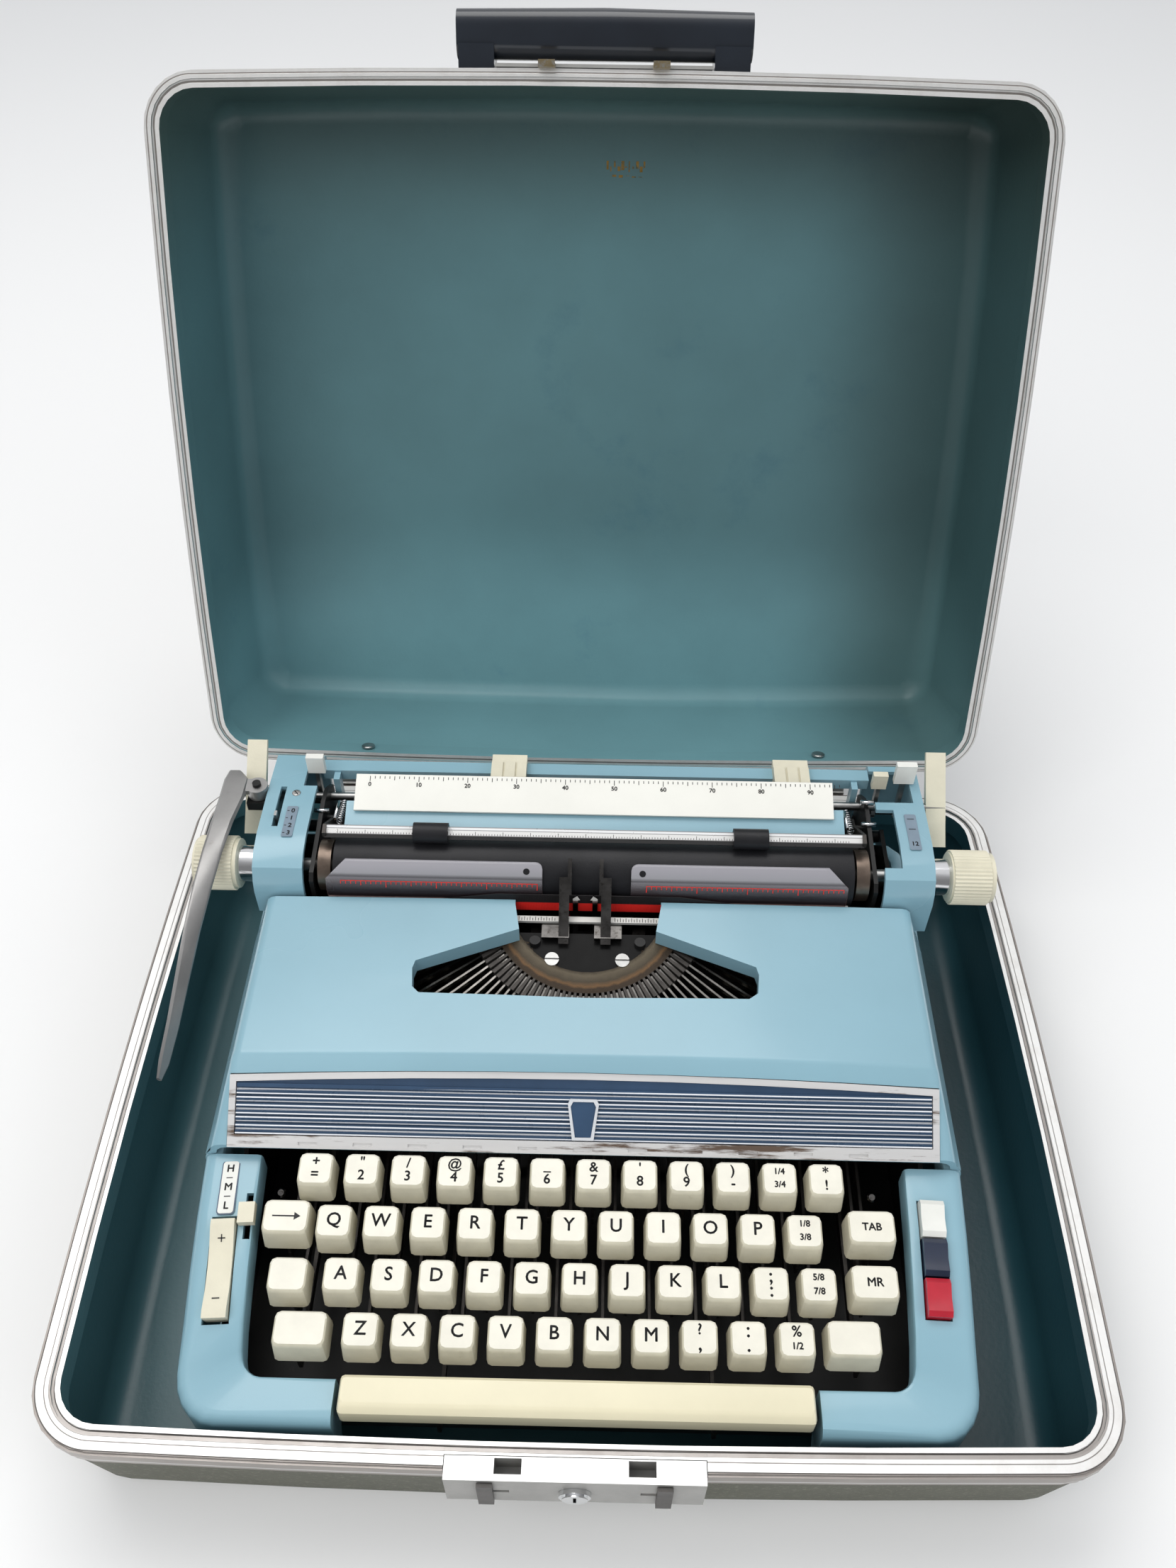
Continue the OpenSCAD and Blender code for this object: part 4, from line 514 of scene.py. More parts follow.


# Painted shade darkens the lining high in the lid and at its right, painted light makes it paler low by the hinges,
# and the base's lining is darker towards its right.
LID_LINING_PAINTED_SHADE_LIGHT = graded(
    "lid_lining_painted_shade_light", LINING,
    ("Z", 0.27, 0.40, (0.62, 0.43, 0.33)), ("X", 0.10, 0.19, (0.60, 0.58, 0.55)),
    ("Z", 0.16, 0.085, (1.7, 1.6, 1.6)),
)
BASE_LINING = graded(
    "base_lining", LINING,
    ("X", -0.16, 0.15, (0.22, 0.34, 0.38)), ("X", 0.5, -0.4, (0.62, 0.72, 0.74)),
)

# The case's outline: width, depth, corner radius and the bow of its sides (m).
CASE_W, CASE_D, CASE_R, CASE_BOW = 0.424, 0.343, 0.027, 0.0034
LID_INSET = 0.0036
RIM_BAND = 12
WORN_RIM = (0.72, 0.69, 0.66)


def rim_material(name, turn, shift, edge, bands):
    """Extruded aluminium whose beads and grooves follow the case's outline.

    bands are (inset in mm, colour, height).
    """
    mat = bpy.data.materials.new(name)
    tree, _, links = tree_of(mat)
    out = add(tree, "ShaderNodeOutputMaterial")
    shader = add(tree, "ShaderNodeBsdfPrincipled", Metallic=0.5)
    coords = add(tree, "ShaderNodeTexCoord")
    place = add(tree, "ShaderNodeMapping")
    place.inputs["Rotation"].default_value = (turn, 0, 0)
    place.inputs["Location"].default_value = (0, shift, 0)
    split = add(tree, "ShaderNodeSeparateXYZ")
    links.new(coords.outputs["Object"], place.inputs[0])
    links.new(place.outputs[0], split.inputs[0])
    x = calc(tree, "ABSOLUTE", split.outputs["X"])
    y = calc(tree, "ABSOLUTE", split.outputs["Y"])
    half_x, half_y = CASE_W / 2, CASE_D / 2
    unbowed = []
    for value, other, half, other_half in ((x, y, half_x, half_y), (y, x, half_y, half_x)):
        ratio = calc(tree, "DIVIDE", other, other_half)
        parabola = calc(tree, "SUBTRACT", 1.0, calc(tree, "MULTIPLY", ratio, ratio))
        fall = calc(tree, "MAXIMUM", parabola, 0.0)
        grown = calc(tree, "MULTIPLY_ADD", fall, CASE_BOW / half, 1.0)
        unbowed.append(calc(tree, "SUBTRACT", calc(tree, "DIVIDE", value, grown), half - CASE_R))
    over = [calc(tree, "MAXIMUM", q, 0.0) for q in unbowed]
    squares = calc(tree, "ADD", *[calc(tree, "MULTIPLY", q, q) for q in over])
    within = calc(tree, "MINIMUM", calc(tree, "MAXIMUM", unbowed[0], unbowed[1]), 0.0)
    outside = calc(tree, "ADD", calc(tree, "SQRT", squares), within)
    inset = calc(tree, "SUBTRACT", CASE_R, outside)
    along = add(tree, "ShaderNodeMapRange")
    along.inputs["From Min"].default_value = edge
    along.inputs["From Max"].default_value = edge + RIM_BAND * MM
    links.new(inset, along.inputs[0])
    wear = add(tree, "ShaderNodeTexNoise", Scale=70, Detail=6, Roughness=0.7)
    links.new(coords.outputs["Object"], wear.inputs["Vector"])
    colour = band_ramp(tree, along.outputs[0], bands, RIM_BAND, lambda band: band[1])
    mix = add(tree, "ShaderNodeMix", data_type="RGBA", blend_type="MULTIPLY")
    fade = add(tree, "ShaderNodeMapRange")
    fade.inputs["From Min"].default_value = 0.45
    fade.inputs["From Max"].default_value = 0.75
    fade.inputs["To Max"].default_value = 0.5
    links.new(wear.outputs[0], fade.inputs[0])
    links.new(fade.outputs[0], mix.inputs["Factor"])
    links.new(colour, mix.inputs[6])
    mix.inputs[7].default_value = (*WORN_RIM, 1)
    links.new(mix.outputs[2], shader.inputs["Base Color"])
    relief = add(tree, "ShaderNodeBump", Strength=0.7, Distance=0.0005)
    height = band_ramp(tree, along.outputs[0], bands, RIM_BAND, lambda band: (band[2],) * 3)
    links.new(height, relief.inputs["Height"])
    links.new(relief.outputs[0], shader.inputs["Normal"])
    gloss = add(tree, "ShaderNodeMapRange")
    gloss.inputs["To Min"].default_value = 0.22
    gloss.inputs["To Max"].default_value = 0.42
    links.new(wear.outputs[0], gloss.inputs[0])
    links.new(gloss.outputs[0], shader.inputs["Roughness"])
    links.new(shader.outputs[0], out.inputs[0])
    return mat


RAGGED = 2.2


def ring_material(name, mat, origin, tilt, start, length, bands):
    """Copy of a finish, banded by the distance from an axis through origin: bands are (mm, colour)."""
    mat, tree, shader = copy_finish(name, mat)
    links = tree.links
    coords, (x, y, _) = in_frame(tree, origin, tilt)
    squares = calc(tree, "ADD", *[calc(tree, "MULTIPLY", q, q) for q in (x, y)])
    ragged = add(tree, "ShaderNodeTexNoise", Scale=260, Detail=6)
    links.new(coords, ragged.inputs["Vector"])
    wander = calc(tree, "MULTIPLY", calc(tree, "SUBTRACT", ragged.outputs[0], 0.5), RAGGED * MM)
    radius = calc(tree, "ADD", calc(tree, "SQRT", squares), wander)
    along = calc(tree, "DIVIDE", calc(tree, "SUBTRACT", radius, start * MM), length * MM)
    ramp = add(tree, "ShaderNodeValToRGB")
    stops = ramp.color_ramp.elements
    while len(stops) < len(bands):
        stops.new(0.5)
    for stop, (at, colour) in zip(stops, bands):
        stop.position = (at - start) / length
        stop.color = (*colour, 1)
    links.new(along, ramp.inputs[0])
    links.new(ramp.outputs[0], shader.inputs["Base Color"])
    return mat


HINGE = Vector((0, 0.1783, 0.070))
OPEN = math.radians(112.4)  # the lid as shown, from shut
BRIGHT = (0.88, 0.87, 0.85)
WARM = (0.33, 0.30, 0.28)
DARK_LINE = (0.10, 0.09, 0.085)
BASE_BANDS = [(0, WARM, 0.2), (1.2, DARK_LINE, 0.0), (1.6, BRIGHT, 1.0), (4.7, WARM, 0.5), (5.0, BRIGHT, 1.0),
              (6.6, (0.42, 0.39, 0.37), 0.3), (8.4, DARK_LINE, 0.0), (8.8, BRIGHT, 1.0)]
LID_BANDS = [(0, BRIGHT, 1.0), (1.5, WARM, 0.3), (2.0, BRIGHT, 1.0), (4.4, (0.30, 0.28, 0.26), 0.2),
             (5.3, BRIGHT, 1.0)]
BASE_RIM = rim_material("base_rim_beads", 0.0, 0.0, 0.0, BASE_BANDS)
LID_SHIFT = HINGE.y - (HINGE.y * math.cos(OPEN) - HINGE.z * math.sin(OPEN))
LID_RIM = rim_material("lid_rim_beads", OPEN, LID_SHIFT, LID_INSET, LID_BANDS)

# ---------------------------------------------------------------- frames of the pieces (m)

LID_MIDDLE = Vector((0, 0.286, 0.2184))
BASE_MIDDLE = Vector((0, 0, 0.036))
LID_OUT = Matrix.Rotation(-OPEN, 3, "X") @ Vector((0, 0, 1))
CARRIAGE_X = 0.002
PLATEN = Vector((CARRIAGE_X, 0.0696, 0.127))
PANEL = Vector((0, -0.0594, 0.099))
PANEL_RISE, PANEL_RUN = 22, 29.1
PANEL_ANGLE = math.atan2(PANEL_RISE, PANEL_RUN)
SEGMENT = Vector((0, 0.057, 0.121))
SEGMENT_TILT = math.radians(14)
BAIL = Vector((CARRIAGE_X, 0.074, 0.1462))
BAIL_TILT = math.radians(34)

# Radii (mm) on the segment: its inner ring, and the colours from there outwards.
RING_IN = 33
RING_BANDS = [(33, (0.10, 0.055, 0.025)), (35.4, (0.03, 0.022, 0.014)), (37.5, (0.115, 0.095, 0.065)),
              (41, (0.065, 0.052, 0.036)), (42.8, (0.15, 0.085, 0.04)), (43.8, (0.05, 0.034, 0.022)),
              (49, (0.03, 0.024, 0.018))]
RING = ring_material("rusty_ring_bands", RUST, SEGMENT, SEGMENT_TILT, RING_IN, 16, RING_BANDS)

# One rib and one gap of the front panel; RIBS_AT is where the first starts up the panel (mm).
NAVY_TONE = (0.030, 0.062, 0.115)
RIB_TONE = (0.86, 0.88, 0.92)
RIBS_AT = 4.9
RIB_W = 0.56
RIB_PITCH = 1.64
PANEL_RIBS = striped("ribbed_panel", PANEL, PANEL_ANGLE, RIBS_AT, [(0, RIB_TONE), (RIB_W, NAVY_TONE)],
                     RIB_PITCH,
                     metal=0.15, repeat=True)

# Bands up the bail's face (mm): the dark lower band is painted shade, the pale band holds the tick scale, and the
# bright band above is the rod.
BAIL_W = 6
BAIL_SHADED_BANDS = [(0, (0.03, 0.03, 0.03)), (1.9, (0.52, 0.51, 0.50)), (2.2, (0.82, 0.81, 0.79)),
              (4.3, (0.25, 0.25, 0.25)), (4.6, (0.90, 0.90, 0.90)), (5.6, (0.3, 0.3, 0.3))]
BAIL_SHADED_STRIP = striped("bail_strip_painted_shade", BAIL, BAIL_TILT, -BAIL_W / 2, BAIL_SHADED_BANDS, BAIL_W, metal=0.3)

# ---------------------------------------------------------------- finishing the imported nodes


def finish_node(name, *mats, choose=None, angle=32):
    """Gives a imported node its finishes, face by face where choose says which, and smooths between sharp edges."""
    obj = nodes[name]
    mesh = obj.data
    mesh.materials.clear()
    for mat in mats:
        mesh.materials.append(mat)
    for face in mesh.polygons:
        face.use_smooth = True
        face.material_index = choose(face, mesh) if choose else 0
    weld = obj.modifiers.new("weld", "WELD")
    weld.merge_threshold = 2e-6
    split = obj.modifiers.new("split", "EDGE_SPLIT")
    split.split_angle = math.radians(angle)
    normals = obj.modifiers.new("normals", "WEIGHTED_NORMAL")
    normals.mode = "FACE_AREA"
    normals.keep_sharp = True


def lowest(face, mesh):
    return min(mesh.vertices[i].co.z for i in face.vertices)


def highest(face, mesh):
    return max(mesh.vertices[i].co.z for i in face.vertices)


SEAM_GAP = 0.0004


def closed_height(point):
    """Height above the seam of a point of the open lid, in the lid's own frame."""
    d = point - HINGE
    return d.y * math.sin(OPEN) + d.z * math.cos(OPEN) - SEAM_GAP


def turned(point, origin, angle):
    """Point in a frame at origin that is tilted about X by angle."""
    d = point - origin
    return Vector((d.x, d.y * math.cos(angle) + d.z * math.sin(angle),
                   -d.y * math.sin(angle) + d.z * math.cos(angle)))


def inside_of(middle):
    return lambda face, mesh: 1 if face.normal.dot(face.center - middle) < 0 else 0


# Depths below the seam (mm) at which a rim's side changes, and its two grooves.
RIM_CROWN = 1
RIM_SIDE_END = 6
RIM_FOOT = 9.8
RIM_GROOVES = [(RIM_SIDE_END, 7.05), (8.75, RIM_FOOT)]
LEDGE = 1.5


def rim_side(depth, along):
    """Finish of a rim's face by its depth below the seam: beads bright, crown side brown, grooves dark."""
    if along > 0.5:
        return 2 if depth > LEDGE else 0
    if any(top < depth < low for top, low in RIM_GROOVES):
        return 2
    return 1 if RIM_CROWN < depth <= RIM_SIDE_END or depth > RIM_FOOT else 3


def base_rim_face(face, mesh):
    """The lining goes up the rim's inner wall, below the beads."""
    if abs(face.normal.z) < 0.5 and face.normal.dot(face.center - BASE_MIDDLE) < 0:
        return 4
    return rim_side((HINGE.z - face.center.z) / MM, abs(face.normal.z))


def lid_rim_face(face, mesh):
    if abs(face.normal.dot(LID_OUT)) < 0.5 and face.normal.dot(face.center - LID_MIDDLE) < 0:
        return 4
    along = abs(face.normal.y * math.sin(OPEN) + face.normal.z * math.cos(OPEN))
    return rim_side(closed_height(face.center) / MM, along)


# On the front panel (mm): half the badge, its floor and its rim, and where the ribs end and lie.
BADGE_HALF = 7.4
BADGE_FLOOR, BADGE_RIM = 0.85, 1.25
RIBS_END = 24.8
RIBS_LOW = -0.6


def panel_face(face, mesh):
    """Badge bright, the ribbed length striped, the plain length above it navy."""
    p = turned(face.center, PANEL, PANEL_ANGLE) / MM
    if abs(p.x) < BADGE_HALF and p.z > BADGE_FLOOR:
        return 2 if p.z > BADGE_RIM else 0
    across = face.normal.z * math.cos(PANEL_ANGLE) - face.normal.y * math.sin(PANEL_ANGLE)
    ribbed = p.z > RIBS_LOW and p.y < RIBS_END and abs(p.x) > BADGE_HALF + 0.1
    return 1 if ribbed and across > 0.9 else 0


# On the segment (mm): its two screws, its bearing plate and its slotted ring.
SEGMENT_SCREW = (16, -30)
SCREW_R = 3.6
SCREW_LOW = -0.9
PLATE_R, PLATE_FRONT = 35.4, -36
SLOTTED_R = 46.5


def segment_face(face, mesh):
    p = turned(face.center, SEGMENT, SEGMENT_TILT) / MM
    r = math.hypot(p.x, p.y)
    if math.hypot(abs(p.x) - SEGMENT_SCREW[0], p.y - SEGMENT_SCREW[1]) < SCREW_R and p.z > SCREW_LOW:
        return 3
    if r < PLATE_R and p.y > PLATE_FRONT:
        return 1
    return 2 if r < SLOTTED_R else 0


RUBBER_HALF = 0.1196
END_RING = 0.1275
SHAFT_R = 0.0035


def platen_face(face, mesh):
    p = face.center - PLATEN
    if abs(p.x) < RUBBER_HALF:
        return 0
    return 1 if math.hypot(p.y, p.z) > SHAFT_R and abs(p.x) < END_RING else 2


def by_height(split):
    """The first finish above a height, the second below it."""
    return lambda face, mesh: 0 if lowest(face, mesh) > split else 1


def beyond(x):
    """The second finish further than x from the carriage's middle."""
    return lambda face, mesh: 1 if abs(face.center.x - CARRIAGE_X) > x else 0


HANDLE_END = 0.0657
LOCK_HIGHLIGHT_ABOVE = 0.069
KEYHOLE = Vector((0, -0.1806, 0.057))
KEYHOLE_HALF_W, KEYHOLE_HALF_H = 0.0007, 0.0031
STRIP_LOW, STRIP_HIGH, STRIP_FRONT = 0.1190, 0.1208, 0.0437
BRACKET_X = -0.15455


def handle_face(face, mesh):
    return 1 if abs(face.center.x) > HANDLE_END and abs(face.normal.x) > 0.9 else 0


def hasp_face(face, mesh):
    """The hooks' side, which meets the lock when the lid is shut, is worn to the brass."""
    return 1 if closed_height(face.center) < SEAM_GAP / 2 else 0


# The lock's upward faces take the painted highlight.
def lock_face(face, mesh):
    return 1 if face.normal.z > 0.7 and face.center.z > LOCK_HIGHLIGHT_ABOVE else 0


def cylinder_face(face, mesh):
    """The slot of the key is painted black as shade."""
    p = face.center - KEYHOLE
    return 1 if abs(p.x) < KEYHOLE_HALF_W and abs(p.z) < KEYHOLE_HALF_H and p.y > 0 else 0


def finger_face(face, mesh):
    """The ruled strip across the card fingers is pale."""
    on_strip = STRIP_LOW < lowest(face, mesh) and highest(face, mesh) < STRIP_HIGH
    return 1 if on_strip and face.center.y > STRIP_FRONT else 0


def left_cover_face(face, mesh):
    """The bracket of the return lever, outside the blue cover, is black."""
    return 1 if face.center.x < BRACKET_X else 0


finish_node("case_base", CLOTH, BASE_LINING, choose=inside_of(BASE_MIDDLE))
finish_node("case_lid", CLOTH, LID_LINING_PAINTED_SHADE_LIGHT, choose=inside_of(LID_MIDDLE))
finish_node("case_base_rim", BASE_RIM, RIM_SIDE, RIM_DARK, RIM, BASE_LINING, choose=base_rim_face)
finish_node("case_lid_rim", LID_RIM, RIM_SIDE, RIM_DARK, RIM, LID_LINING_PAINTED_SHADE_LIGHT, choose=lid_rim_face)
finish_node("case_hinge_base", STEEL)
finish_node("case_hinge_lid", STEEL)
finish_node("case_handle", GRIP, CHROME, choose=handle_face)
finish_node("hasp_plate", LOCK, BRASSY, choose=hasp_face)
finish_node("lock_plate", LOCK, LOCK_TOP_PAINTED_HIGHLIGHT, choose=lock_face)
finish_node("latch_left", LATCH)
finish_node("latch_right", LATCH)
finish_node("lock_cylinder", CHROME, INK_AND_SHADE, choose=cylinder_face)
finish_node("chassis", BLACK)
finish_node("body_shell", BLUE, angle=38)
finish_node("top_cover", BLUE, angle=38)
finish_node("front_bezel", BEZEL)
finish_node("front_panel", NAVY, PANEL_RIBS, RIB, choose=panel_face)
finish_node("segment", DARK_STEEL, SHINY_BLACK, RING, STEEL, choose=segment_face)
finish_node("typebars", BAR_STEEL)
finish_node("ribbon_vibrator", CHROME)
finish_node("card_fingers", DARK_CHROME, PALE_STEEL, choose=finger_face)
finish_node("ribbon", RIBBON)
finish_node("ribbon_spool_left", DARK_STEEL)
finish_node("ribbon_spool_right", DARK_STEEL)

# The keyboard (mm): the rows from the back, each row's first key in pitches from KEY_START, a cap's depth.
ROW_PITCH, ROW_STEP = 19.07, 6.8
ROW_Y = [-128.0 + ROW_PITCH * (3 - row) for row in range(4)]
ROW_Z = [82.0 + ROW_STEP * (3 - row) for row in range(4)]
ROW_FIRST = [-0.5, 0, 0.25, 0.75]
KEY_START = -99.97
KEY_PITCH = 19.05
KEY_DEEP = 13.4
KEY_TILT = math.radians(6)
SPARE_KEY_X = 117.8
BACKSPACE_X = -119.7


def cap_faces(z):
    """Top face of a cap in the ivory, its flanks in a darker copy painted as shade, the lever below it steel."""

    def choose(face, mesh):
        if lowest(face, mesh) <= (z - KEY_DEEP) * MM:
            return 2
        return 0 if face.normal.z > 0.8 else 1

    return choose


for row in range(4):
    finish_node(f"keys_row_{row + 1}", KEY, KEY_SIDE_PAINTED_SHADE, DARK_STEEL, choose=cap_faces(ROW_Z[row]))
for name, row in (("backspace_key", 1), ("tab_key", 1), ("margin_release_key", 2), ("shift_lock_key", 2),
                  ("left_shift_key", 3), ("right_shift_key", 3)):
    finish_node(name, KEY, KEY_SIDE_PAINTED_SHADE, DARK_STEEL, choose=cap_faces(ROW_Z[row]))
# Heights and distances (m) where a painted or moulded end meets its metal.
finish_node("space_bar", SPACE, DARK_STEEL, choose=by_height(0.0645))
finish_node("touch_slider", CREAM)
finish_node("tab_rocker", CREAM)
finish_node("ribbon_key_white", WHITE)
finish_node("ribbon_key_black", BLACK_KEY)
finish_node("ribbon_key_red", RED_KEY)
finish_node("carriage_frame", BLACK)
finish_node("carriage_cover_left", BLUE, BLACK, choose=left_cover_face)
finish_node("carriage_cover_right", BLUE)
finish_node("carriage_rear_rail", BLUE)
finish_node("margin_stop_left", CREAM)
finish_node("margin_stop_right", CREAM)
finish_node("scale_plate", SCALE, BLACK, choose=by_height(0.1434))
finish_node("paper_deflector", BLUE, BLACK, choose=by_height(0.1384))
finish_node("platen", RUBBER, BROWN, STEEL, choose=platen_face)
finish_node("platen_knobs", CHROME, CREAM, choose=beyond(0.16505))
finish_node("paper_bail", BAIL_SHADED_STRIP, DARK_STEEL, choose=beyond(0.1225))
finish_node("bail_rollers", RUBBER)
finish_node("line_scale", PALE_STEEL)
finish_node("return_lever", LEVER)
finish_node("line_space_selector", STEEL)
finish_node("ratchet_lever", WHITE, STEEL, choose=by_height(0.1404))
finish_node("page_gauge_lever", WHITE, STEEL, choose=by_height(0.1408))
finish_node("paper_release_lever", CREAM, STEEL, choose=by_height(0.1368))
finish_node("carriage_release_levers", STEEL, CREAM, choose=beyond(0.1605))

# ---------------------------------------------------------------- small pieces


def build(name, mesh, body, slot, *mats):
    """A piece of the scene with its finishes, riding on a body. Its slot is not used."""
    obj = bpy.data.objects.new(name, mesh)
    scene.collection.objects.link(obj)
    for mat in mats:
        mesh.materials.append(mat)
    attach(obj, body)
    return obj


BOLD = [(-1, 0), (1, 0), (0, -1), (0, 1)]
MARK_H = 0.03


def lettering(name, items, body, slot, mat, bold=0.12):
    """One mesh of all the legends in items, (text, size, matrix), thickened by bold on four sides (mm)."""
    bm = bmesh.new()
    for text, size, place in items:
        curve = bpy.data.curves.new("legend", "FONT")
        curve.body = text
        curve.size = size * MM
        curve.align_x = "CENTER"
        curve.align_y = "CENTER"
        curve.extrude = MARK_H * MM
        curve.resolution_u = 3
        holder = bpy.data.objects.new("legend", curve)
        scene.collection.objects.link(holder)
        bpy.context.view_layer.update()
        shown = holder.evaluated_get(bpy.context.evaluated_depsgraph_get())
        solid = bpy.data.meshes.new_from_object(shown)
        for along, across in BOLD:
            copy = solid.copy()
            copy.transform(place @ Matrix.Translation((along * bold * MM, across * bold * MM, 0)))
            bm.from_mesh(copy)
            bpy.data.meshes.remove(copy)
        bpy.data.objects.remove(holder)
        bpy.data.curves.remove(curve)
        bpy.data.meshes.remove(solid)
    mesh = bpy.data.meshes.new(name)
    bm.to_mesh(mesh)
    bm.free()
    return build(name, mesh, body, slot, mat)


def raised(height, up=0.0, side=0.0):
    """Shift within a frame, in millimetres: height above it, up along Y and side along X."""
    return Matrix.Translation((side * MM, up * MM, height * MM))


def on_key(x, y, z, up=0.0):
    """Place on a key's top face, up from its middle."""
    tilt = Matrix.Rotation(KEY_TILT, 4, "X")
    return Matrix.Translation((x * MM, y * MM, z * MM)) @ tilt @ raised(MARK_H, up)


LEGENDS = [
    ["+=", '"2', "/3", "@4", "£5", "_6", "&7", "'8", "(9", ")-", "¼¾", "*!"],
    ["Q", "W", "E", "R", "T", "Y", "U", "I", "O", "P", "⅛⅜"],
    ["A", "S", "D", "F", "G", "H", "J", "K", "L", ";:", "⅝⅞"],
    ["Z", "X", "C", "V", "B", "N", "M", "?,", ":.", "%½"],
]
FRACTIONS = {"¼": "1/4", "¾": "3/4", "⅛": "1/8", "⅜": "3/8", "⅝": "5/8", "⅞": "7/8", "½": "1/2"}
# Heights of the letters (mm), and how far up or down a key's middle they stand.
LETTER, LETTER_UP = 7.5, 0.4
MARK, FRACTION, POINT = 5.8, 3.6, 8.0
UPPER, LOWER = 3.0, -2.4
for row, texts in enumerate(LEGENDS):
    items = []
    for i, text in enumerate(texts):
        x = KEY_START + (ROW_FIRST[row] + i) * KEY_PITCH
        if len(text) == 1:
            items.append((text, LETTER, on_key(x, ROW_Y[row], ROW_Z[row], up=LETTER_UP)))
            continue
        for mark, up in ((text[0], UPPER), (text[1], LOWER)):
            size = FRACTION if mark in FRACTIONS else POINT if mark in ";:.," else MARK
            items.append((FRACTIONS.get(mark, mark), size, on_key(x, ROW_Y[row], ROW_Z[row], up=up)))
    lettering(f"legends_row_{row + 1}", items, f"keys_row_{row + 1}", "key_ivory", INK_AND_SHADE)
tab_top = on_key(SPARE_KEY_X, ROW_Y[1] + 2.4, ROW_Z[1])
lettering("legend_tab", [("TAB", 4.3, tab_top)], "tab_key", "key_ivory", INK_AND_SHADE)
release_top = on_key(SPARE_KEY_X, ROW_Y[2] + 1.6, ROW_Z[2])
lettering("legend_mr", [("MR", 4.8, release_top)], "margin_release_key", "key_ivory", INK_AND_SHADE)


def flat(name, outlines, place, body, slot, mat, height=MARK_H):
    """Thin raised marks from outlines in millimetres, laid on place."""
    bm = bmesh.new()
    for outline in outlines:
        low = [bm.verts.new(place @ Vector((x * MM, y * MM, 0))) for x, y in outline]
        top = [bm.verts.new(place @ Vector((x * MM, y * MM, height * MM))) for x, y in outline]
        bm.faces.new(top)
        bm.faces.new(low[::-1])
        n = len(outline)
        for i in range(n):
            bm.faces.new((low[i], low[(i + 1) % n], top[(i + 1) % n], top[i]))
    bmesh.ops.recalc_face_normals(bm, faces=bm.faces)
    mesh = bpy.data.meshes.new(name)
    bm.to_mesh(mesh)
    bm.free()
    return build(name, mesh, body, slot, mat)


def bar(x0, y0, x1, y1):
    return [(x0, y0), (x1, y0), (x1, y1), (x0, y1)]


TAIL, NECK, TIP = -5.5, 3.4, 6
SHAFT_HALF, HEAD_HALF = 0.3, 1.6
arrow = bar(TAIL, -SHAFT_HALF, NECK, SHAFT_HALF)
arrow[2:2] = [(NECK, -HEAD_HALF), (TIP, 0), (NECK, HEAD_HALF)]
flat("legend_backspace", [arrow], on_key(BACKSPACE_X, ROW_Y[1] + 1.6, ROW_Z[1]), "backspace_key",
     "key_ivory", INK_AND_SHADE)


def frame_at(x, y, z, tilt=0.0, skew=0.0):
    """Frame at a place in millimetres, turned by skew about Z and then tilted about X, in degrees."""
    return (
        Matrix.Translation((x * MM, y * MM, z * MM))
        @ Matrix.Rotation(math.radians(skew), 4, "Z")
        @ Matrix.Rotation(math.radians(tilt), 4, "X")
    )


def ticks(count, pitch, long_every, long_h, short_h, width, start=0.0, mid_every=0, mid_h=0.0):
    """Upright marks along X from start, every long_every-th of them long. A negative height goes down."""
    marks = []
    for i in range(count):
        h = long_h if i % long_every == 0 else mid_h if mid_every and i % mid_every == 0 else short_h
        x = start + i * pitch
        marks.append(bar(x - width / 2, min(0, h), x + width / 2, max(0, h)))
    return marks


# ---------------------------------------------------------------- plates and marks on the housing

# The surround's upper surface from the front, (y, z) in mm.
SURROUND = [(-160, 71), (-150, 72.8), (-143, 75.5), (-126, 82), (-106, 86.6), (-86, 90), (-60, 92),
            (-59.8, 90.6)]


SLOPE_REACH = 15


def surround_z(y):
    for (y0, z0), (y1, z1) in zip(SURROUND, SURROUND[1:]):
        if y0 <= y <= y1:
            return z0 + (z1 - z0) * (y - y0) / (y1 - y0)
    return SURROUND[-1][1]


def on_surround(x, y, skew, up):
    """Frame lying on the surround, up above it."""
    slope = math.atan((surround_z(y + SLOPE_REACH) - surround_z(y - SLOPE_REACH)) / (2 * SLOPE_REACH))
    return frame_at(x, y, surround_z(y), math.degrees(slope), skew) @ raised(up)


def rounded(w, h, r, steps=4):
    """Outline of a plate w by h with its corners rounded to r."""
    pts = []
    for quarter, (right, up) in enumerate(((1, 1), (-1, 1), (-1, -1), (1, -1))):
        cx, cy = right * (w / 2 - r), up * (h / 2 - r)
        for i in range(steps + 1):
            a = math.radians(90 * quarter + 90 * i / steps)
            pts.append((cx + r * math.cos(a), cy + r * math.sin(a)))
    return pts


def dashes(half_w, half_h, heights, x=0.0):
    return [bar(x - half_w, y - half_h, x + half_w, y + half_h) for y in heights]


LEFT_SKEW = 3.6
TOUCH_W, TOUCH_H = 6.4, 22.4
TOUCH_BORDER = 0.5
TOUCH_STEP = 8.0
touch_plate = on_surround(-146.6, -74.5, LEFT_SKEW, 0.15)
touch_top = touch_plate @ raised(0.55)
touch_rim = rounded(TOUCH_W + 2 * TOUCH_BORDER, TOUCH_H + 2 * TOUCH_BORDER, 1.6)
flat("touch_plate_rim", [touch_rim], touch_plate, "case", "body_blue", NAVY, 0.25)
flat("touch_plate", [rounded(TOUCH_W, TOUCH_H, 1.2)], touch_plate, "case", "control_white", WHITE, 0.5)
touch_marks = [(mark, 4.4, touch_top @ raised(0, TOUCH_STEP * (1 - i))) for i, mark in enumerate("HML")]
lettering("touch_plate_legend", touch_marks, "case", "control_black", INK_AND_SHADE)
touch_dashes = dashes(1.3, 0.2, (TOUCH_STEP / 2, -TOUCH_STEP / 2))
flat("touch_plate_dashes", touch_dashes, touch_top, "case", "control_black", INK_AND_SHADE)

